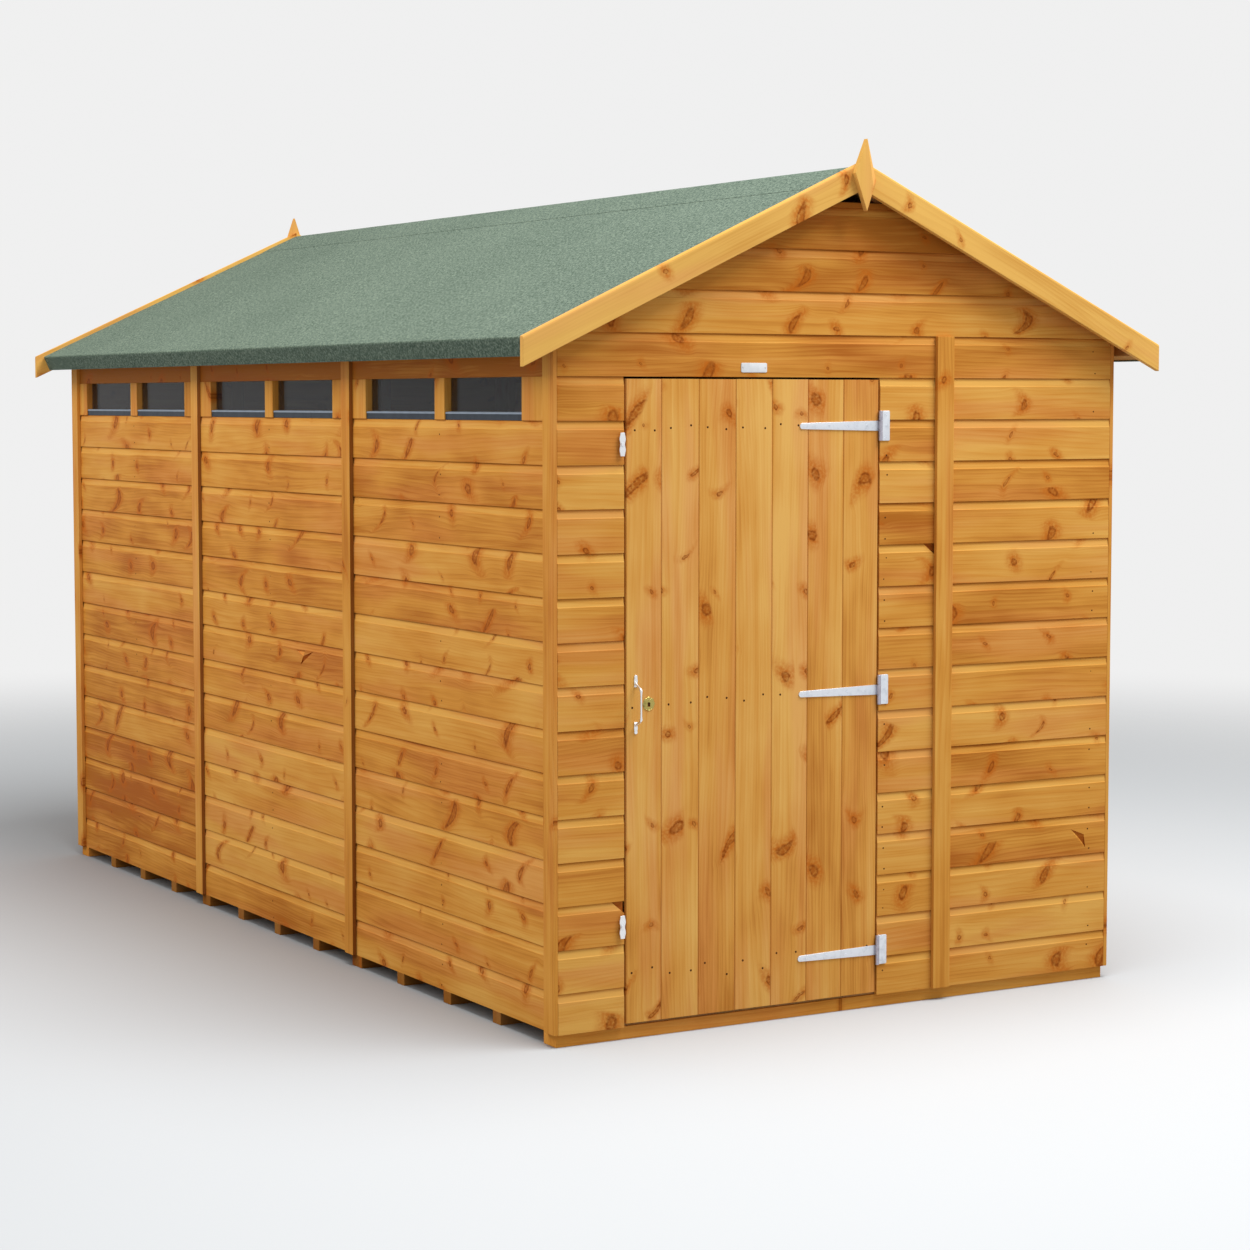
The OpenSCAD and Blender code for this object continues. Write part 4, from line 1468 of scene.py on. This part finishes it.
class SHED_OT_hinges(bpy.types.Operator):
    """Forges the straps, plates, knuckles and pins of the hinges"""

    bl_idname = "shed.hinges"
    bl_label = "Hinges"

    def execute(self, context):
        iron = context.scene.shed_ironwork
        joint = next(j for j in frame["joints"] if j["name"] == "door_swing")
        pin = Vector(joint["pos_m"])
        straps, knuckles = self.straps(pin, iron)
        plates, pins = self.plates(pin, iron)
        finish(straps, "hinge_strap_leaves", strap_zinc(), "door", ["hinge_straps"], smooth=0.6)
        finish(plates, "hinge_plate_leaves", strap_zinc(), "shed", ["hinge_plates"], smooth=0.6)
        finish(knuckles, "hinge_strap_knuckles", pin_steel(), "door", smooth=0.6)
        finish(pins, "hinge_plate_knuckles", pin_steel(), "shed", smooth=0.6)
        return {"FINISHED"}

    def straps(self, pin, iron):
        """A tapered strap on the door and its knuckle round the pin, for each hinge."""
        tip, trim, slack = 8 * MM, 0.2 * MM, 0.1 * MM
        screw_shares = (0.09, 0.36, 0.60, 0.84)
        first_spin, more_spin, taper = 0.3, 0.9, 0.6
        straps, knuckles = new_piece(), new_piece()
        for part in solids("hinge_straps"):
            low, high = box_of(part)
            level, tall = (low.z + high.z) / 2, high.z - low.z
            outline = [(pin.x, level - tall / 2 + trim), (pin.x, level + tall / 2 - trim)]
            outline += arc_points(low.x + tip, level, tip, 90, 270, 10)
            add_metal(straps, cut_plate(outline, SEAT, iron.sheet, iron.edge))
            add_metal(knuckles, barrel(pin, high.x - pin.x, iron.pin + slack, low.z, high.z, iron.edge))
            for i, share_over in enumerate(screw_shares):
                x = low.x + (pin.x - low.x) * share_over
                radius = min(iron.screw, tip / 2 + taper * i * MM)
                add_metal(straps, screw_head(x, level, iron.sheet, radius, first_spin + more_spin * i))
            part.free()
        return straps, knuckles

    def plates(self, pin, iron):
        """A plate on the wall with two knuckles and the pin through them, for each hinge."""
        root, corner, trim, slack = 14.5 * MM, 3 * MM, 0.1 * MM, 0.7 * MM
        screw_share, screw_shift, first_spin = 0.36, 3 * MM, 0.5
        plates, pins = new_piece(), new_piece()
        for part in solids("hinge_plates"):
            low, high = box_of(part)
            level, tall = (low.z + high.z) / 2, high.z - low.z
            radius = pin.x - low.x
            notch = pin.x + radius + slack
            outline = [(notch, level - root), (pin.x, level - root), (pin.x, low.z + trim)]
            outline += arc_points(high.x - corner, low.z + corner, corner, -90, 0, 4)
            outline += arc_points(high.x - corner, high.z - corner, corner, 0, 90, 4)
            outline += [(pin.x, high.z - trim), (pin.x, level + root), (notch, level + root)]
            add_metal(plates, cut_plate(outline, SEAT, iron.sheet, iron.edge))
            for foot, top in ((low.z, level - root), (level + root, high.z)):
                add_metal(pins, barrel(pin, radius, iron.pin, foot, top, iron.edge))
            add_metal(pins, pin_rod(pin, iron.pin, low.z, high.z))
            middle = (notch + high.x) / 2
            for i, (shift, up) in enumerate(((0, -screw_share), (screw_shift, 0), (0, screw_share))):
                x, z = middle + shift, level + up * tall
                add_metal(plates, screw_head(x, z, iron.sheet, iron.screw, first_spin + i))
            part.free()
        return plates, pins


class SHED_OT_handle(bpy.types.Operator):
    """Shapes the bow handle and the petalled keyhole plate"""

    bl_idname = "shed.handle"
    bl_label = "Handle"

    def execute(self, context):
        self.bow(context.scene.shed_ironwork)
        self.keyhole(context.scene.shed_ironwork)
        return {"FINISHED"}

    def bow(self, iron):
        """Round grip between two waved feet."""
        foot, thick, screw, spin = 31 * MM, 2.4 * MM, 3.6 * MM, 0.4
        rows, waves, wave_middle, wave_height = 18, 2, 0.88, 0.1
        blunt, end_rows = 0.35, 9
        screw_share, grip_share = 0.28, 0.62
        low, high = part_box("door_handle")
        x, level = (low.x + high.x) / 2, (low.z + high.z) / 2
        half, wide = (high.z - low.z) / 2, (high.x - low.x) / 2
        reach = high.y - low.y - iron.grip
        piece = new_piece()
        for end in (-1, 1):
            right, left = [], []
            for i in range(rows + 1):
                t = i / rows
                z = level + end * (half - foot * t)
                swell = wide * (wave_middle + wave_height * math.cos(2 * math.pi * waves * t))
                swell *= math.sqrt(max(blunt, min(1, t * end_rows)))
                right.append((x + swell, z))
                left.append((x - swell, z))
            add_metal(piece, cut_plate(right + left[::-1], SEAT, thick, iron.edge))
            z = level + end * (half - screw_share * foot)
            add_metal(piece, screw_head(x, z, thick, screw, spin * end))
        self.grip(piece, x, level, half - foot * grip_share, reach, iron.grip)
        finish(piece, "bow_handle", zinc(), "door", ["door_handle"], smooth=0.7)

    def grip(self, piece, x, level, half, reach, radius):
        """A bar that rises from one foot, runs upright and falls to the other."""
        steps, sides = 48, 16
        root, rise_share = 1.6 * MM, 0.36
        slender, collar_by, collar_at, collar_wide = 0.74, 0.34, 0.68, 0.13
        waist_by, waist_wide = 0.06, 0.5
        side = Vector((1, 0, 0))
        stations = []
        for i in range(steps + 1):
            t = -1 + 2 * i / steps
            bow = min(1.0, (1 - abs(t)) / rise_share)
            rise = root + (reach - root) * (bow * bow * (3 - 2 * bow))
            collar = collar_by * math.exp(-((abs(t) - collar_at) / collar_wide) ** 2)
            waist = waist_by * math.exp(-(t / waist_wide) ** 2)
            stations.append((face_point(x, level + half * t, rise), radius * (slender + collar - waist)))
        rings = []
        for i, (place, slim) in enumerate(stations):
            before, after = stations[max(0, i - 1)][0], stations[min(steps, i + 1)][0]
            out = side.cross((after - before).normalized())
            rings.append(circle(place, side, out, slim, sides))
        part = tube(rings)
        clip(part, face_point(x, level, SEAT), Vector((0, 1, 0)))
        add_metal(piece, part)

    def keyhole(self, iron):
        """A petalled brass plate, dished towards its keyhole."""
        hole, seat, sides = 4.2 * MM, 0.03 * MM, 12
        petal_root, petal_round, thinned = 0.90, 0.6, 0.98
        slot_half, slot_least, slot_from, slot_deep, slot_by = 0.5, 0.35, -0.75, 1.9, 2.2
        levels = ((1.0, 0.0), (1.0, 0.35), (0.93, 0.85), (0.84, 0.95), (0.74, 0.55), (0.64, 0.55),
                  (0.56, 0.95), (0.46, 1.0), (0.0, 0.8), (0.0, 0.0))
        low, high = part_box("keyhole_plate")
        x, z = (low.x + high.x) / 2, (low.z + high.z) / 2
        radius, thick = (high.x - low.x) / 2, thinned * (high.y - low.y)
        turns = [2 * math.pi * i / (sides * iron.petals) for i in range(sides * iron.petals)]
        rings = []
        for shape, rise in levels:
            ring = []
            for turn in turns:
                lobe = abs(math.cos(turn * iron.petals / 2)) ** petal_round
                petal = petal_root + (1 - petal_root) * lobe
                slot = hole * slot_half / max(slot_least, abs(math.sin(turn - math.pi / 2)))
                key = hole if math.sin(turn) > slot_from else min(hole * slot_deep, slot * slot_by)
                r = key + (radius * petal - key) * shape
                ring.append(face_point(x + r * math.cos(turn), z + r * math.sin(turn), seat + thick * rise))
            rings.append(ring)
        piece = new_piece()
        add_metal(piece, tube(rings, capped=False))
        finish(piece, "keyhole_rose", brass(), "door", ["keyhole_plate"], smooth=0.7)
        self.keyhole_shadow(x, z, hole)

    def keyhole_shadow(self, x, z, hole):
        """A dark disc behind the keyhole."""
        drop, seat, thick, edge = 1.5 * MM, 0.02 * MM, 0.3 * MM, 0.1 * MM
        sides, wider = 24, 1.35
        outline = arc_points(x, z - drop, hole * wider, 0, 360 - 360 / sides, sides - 1)
        piece = new_piece()
        add_metal(piece, cut_plate(outline, seat, thick, edge))
        finish(piece, "keyhole_shadow", nail_steel(), "door")


class SHED_OT_buttons(bpy.types.Operator):
    """Presses the turn buttons and drives their screws"""

    bl_idname = "shed.buttons"
    bl_label = "Turn buttons"

    def execute(self, context):
        rows, lobe_middle, lobe_height, lobe_long = 36, 0.87, 0.13, 0.46
        blunt, end_power = 0.86, 40
        edge = context.scene.shed_ironwork.edge
        for where in ("upper", "lower"):
            name = where + "_turn_button"
            low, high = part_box(name)
            x, z = (low.x + high.x) / 2, (low.z + high.z) / 2
            half, wide = (high.z - low.z) / 2, (high.x - low.x) / 2
            proud = face_point(0, 0).y - high.y
            right = []
            for i in range(rows + 1):
                t = -1 + 2 * i / rows
                lobes = lobe_middle - lobe_height * math.cos(t * math.pi / lobe_long)
                end = math.sqrt(max(blunt, 1 - abs(t) ** end_power))
                right.append((wide * lobes * end, half * t))
            outline = [(x + a, z + b) for a, b in right] + [(x - a, z + b) for a, b in reversed(right)]
            piece = new_piece()
            add_metal(piece, cut_plate(outline, proud, high.y - low.y, edge))
            body = where + "_button"
            finish(piece, body + "_plate", zinc(), body, [name], smooth=0.7)
        self.screws()
        return {"FINISHED"}

    def screws(self):
        """Spacer, shank and slotted head of each button's screw."""
        edge, sunk, rim, spin = 0.4 * MM, 0.7 * MM, 0.6 * MM, 0.7
        piece = new_piece()
        for part in solids("button_screws"):
            low, high = box_of(part)
            x, z = (low.x + high.x) / 2, (low.z + high.z) / 2
            soften(part, edge, 2, 0.6)
            add_metal(piece, part)
            add_metal(piece, screw_head(x, z, high.y - low.y - sunk, (high.x - low.x) / 2 - rim, spin))
        finish(piece, "button_screw_heads", zinc(), "shed", ["button_screws"], smooth=0.6)


class SHED_OT_plate(bpy.types.Operator):
    """Pins a bare rounded plate over the door"""

    bl_idname = "shed.plate"
    bl_label = "Plate over the door"

    def execute(self, context):
        seat, thick, corner = 0.1 * MM, 1.6 * MM, 4 * MM
        pin, pin_gap, pin_spin, corner_steps = 1.8 * MM, 6 * MM, 0.2, 5
        enamel = (0.80, 0.82, 0.84)
        iron = context.scene.shed_ironwork
        low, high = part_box("door_leaf")
        x = (low.x + high.x) / 2 - iron.plate_shift
        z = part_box("front_door_head")[0].z + iron.plate_rise
        half_w, half_h = iron.plate_w / 2, iron.plate_h / 2
        outline = []
        for i, (side, rise) in enumerate(((1, 1), (-1, 1), (-1, -1), (1, -1))):
            outline += arc_points(x + side * (half_w - corner), z + rise * (half_h - corner), corner,
                                  90 * i, 90 * i + 90, corner_steps)
        piece = new_piece()
        add_metal(piece, cut_plate(outline, seat, thick, iron.edge))
        face = coated("plate_enamel", enamel, rough=0.3)
        finish(piece, "bare_plate", face, "shed", smooth=0.6)
        pins = new_piece()
        for side in (-1, 1):
            add_metal(pins, screw_head(x + side * (half_w - pin_gap), z, seat + thick, pin, pin_spin))
        finish(pins, "bare_plate_pins", zinc(), "shed", smooth=0.6)
        return {"FINISHED"}


# Stage


def seen_straight(tree):
    """1 where the camera looks at something itself, in a mirror or through glass, or else 0."""
    path = node(tree, "LightPath").outputs
    direct = calc(tree, "ADD", path["Is Camera Ray"], path["Is Glossy Ray"])
    return calc(tree, "ADD", direct, path["Is Transmission Ray"], clamp=True)


class SHED_OT_stage(bpy.types.Operator):
    """Lays the studio floor and sets the lamps and the camera"""

    bl_idname = "shed.stage"
    bl_label = "Stage"

    def execute(self, context):
        stage = context.scene.shed_stage
        floor = self.floor(stage)
        self.world(stage)
        self.lamp(stage, "key", "overhead_lamp", pieces())
        self.lamp(stage, "fill", "left_lamp", pieces())
        self.lamp(stage, "ground", "floor_lamp", floor)
        self.camera(stage)
        context.scene.view_settings.view_transform = "Standard"
        return {"FINISHED"}

    def floor(self, stage):
        """A wide pale floor that fades into the background, and the collection that holds it."""
        name, size = "studio_floor", 40.0
        mesh = bpy.data.meshes.new(name)
        corners = [(x * size, y * size, 0) for x, y in ((-1, -1), (1, -1), (1, 1), (-1, 1))]
        mesh.from_pydata(corners, [], [(0, 1, 2, 3)])
        thing = bpy.data.objects.new(name, mesh)
        bpy.context.scene.collection.objects.link(thing)
        material, tree = new_material(name)
        place = node(tree, "TexCoord").outputs["Object"]
        far_off = node(tree, "VectorMath", {0: place}, operation="LENGTH").outputs["Value"]
        thrown_back = tuple(stage.bounce * tint for tint in stage.floor)
        coat(tree, {
            "Base Color": mix(tree, seen_straight(tree), thrown_back, stage.floor),
            "Roughness": 0.9,
            "Specular IOR Level": 0.0,
            "Alpha": ramp(tree, far_off, stage.floor_near, stage.floor_far, 1.0, 0.0),
        })
        mesh.materials.append(material)
        only_floor = bpy.data.collections.new(name)
        only_floor.objects.link(thing)
        return only_floor

    def world(self, stage):
        """Even light from all round, with the background seen as its own colour."""
        world = bpy.data.worlds.new("studio")
        bpy.context.scene.world = world
        world.use_nodes = True
        tree = world.node_tree
        light = tree.nodes["Background"]
        light.inputs["Color"].default_value = (1.0, 1.0, 1.0, 1)
        light.inputs["Strength"].default_value = stage.sky
        seen = node(tree, "Background", {"Color": (*stage.backdrop, 1), "Strength": 1.0})
        both = node(tree, "MixShader", {0: seen_straight(tree), 1: light.outputs[0], 2: seen.outputs[0]})
        tree.links.new(both.outputs[0], tree.nodes["World Output"].inputs["Surface"])

    def lamp(self, stage, setting, name, lit):
        """A square soft lamp that lights one collection."""
        data = bpy.data.lights.new(name, "AREA")
        data.energy = getattr(stage, setting)
        data.size = getattr(stage, setting + "_size")
        data.color = getattr(stage, setting + "_tint")
        place, aim = (Vector(getattr(stage, setting + end)) for end in ("_place", "_aim"))
        thing = bpy.data.objects.new(name, data)
        thing.location = place
        thing.rotation_euler = (aim - place).to_track_quat("-Z", "Y").to_euler()
        thing.light_linking.receiver_collection = lit
        bpy.context.scene.collection.objects.link(thing)

    def camera(self, stage):
        """The photograph's point of view."""
        data = bpy.data.cameras.new("camera")
        data.lens = stage.lens
        data.sensor_width = 36.0
        data.shift_x, data.shift_y = stage.shift
        data.clip_end = 200.0
        thing = bpy.data.objects.new("camera", data)
        thing.location = stage.eye
        level = math.cos(stage.pitch)
        forward = Vector((math.sin(stage.yaw) * level, math.cos(stage.yaw) * level, -math.sin(stage.pitch)))
        thing.rotation_euler = forward.to_track_quat("-Z", "Y").to_euler()
        bpy.context.scene.collection.objects.link(thing)
        bpy.context.scene.camera = thing


GROUPS = {
    "shed_boards": ShedBoards,
    "shed_roof": ShedRoof,
    "shed_ironwork": ShedIronwork,
    "shed_finishes": ShedFinishes,
    "shed_stage": ShedStage,
}
OPERATORS = (SHED_OT_cladding, SHED_OT_framing, SHED_OT_floor, SHED_OT_windows, SHED_OT_roof, SHED_OT_trim,
             SHED_OT_door, SHED_OT_hinges, SHED_OT_handle, SHED_OT_buttons, SHED_OT_plate, SHED_OT_stage)


class SHED_PT_panel(bpy.types.Panel):
    """Lists the shed's settings and the steps that build it."""

    bl_label = "Garden shed"
    bl_idname = "SHED_PT_panel"
    bl_space_type = "VIEW_3D"
    bl_region_type = "UI"
    bl_category = "Shed"

    def draw(self, context):
        for kind in OPERATORS:
            self.layout.operator(kind.bl_idname)
        for name, group in GROUPS.items():
            box = self.layout.box()
            box.label(text=name.replace("_", " ").capitalize())
            for key in group.__annotations__:
                box.prop(getattr(context.scene, name), key)


def register():
    """Makes the settings, the steps and the panel known."""
    for name, group in GROUPS.items():
        bpy.utils.register_class(group)
        setattr(bpy.types.Scene, name, PointerProperty(type=group))
    for kind in OPERATORS:
        bpy.utils.register_class(kind)
    bpy.utils.register_class(SHED_PT_panel)


def unregister():
    """Takes back what register made known."""
    bpy.utils.unregister_class(SHED_PT_panel)
    for kind in reversed(OPERATORS):
        bpy.utils.unregister_class(kind)
    for name, group in reversed(GROUPS.items()):
        delattr(bpy.types.Scene, name)
        bpy.utils.unregister_class(group)


def main():
    """Builds the shed step by step."""
    register()
    for kind in OPERATORS:
        step = kind.bl_idname.split(".")[1]
        getattr(bpy.ops.shed, step)()


if __name__ == "__main__":
    main()
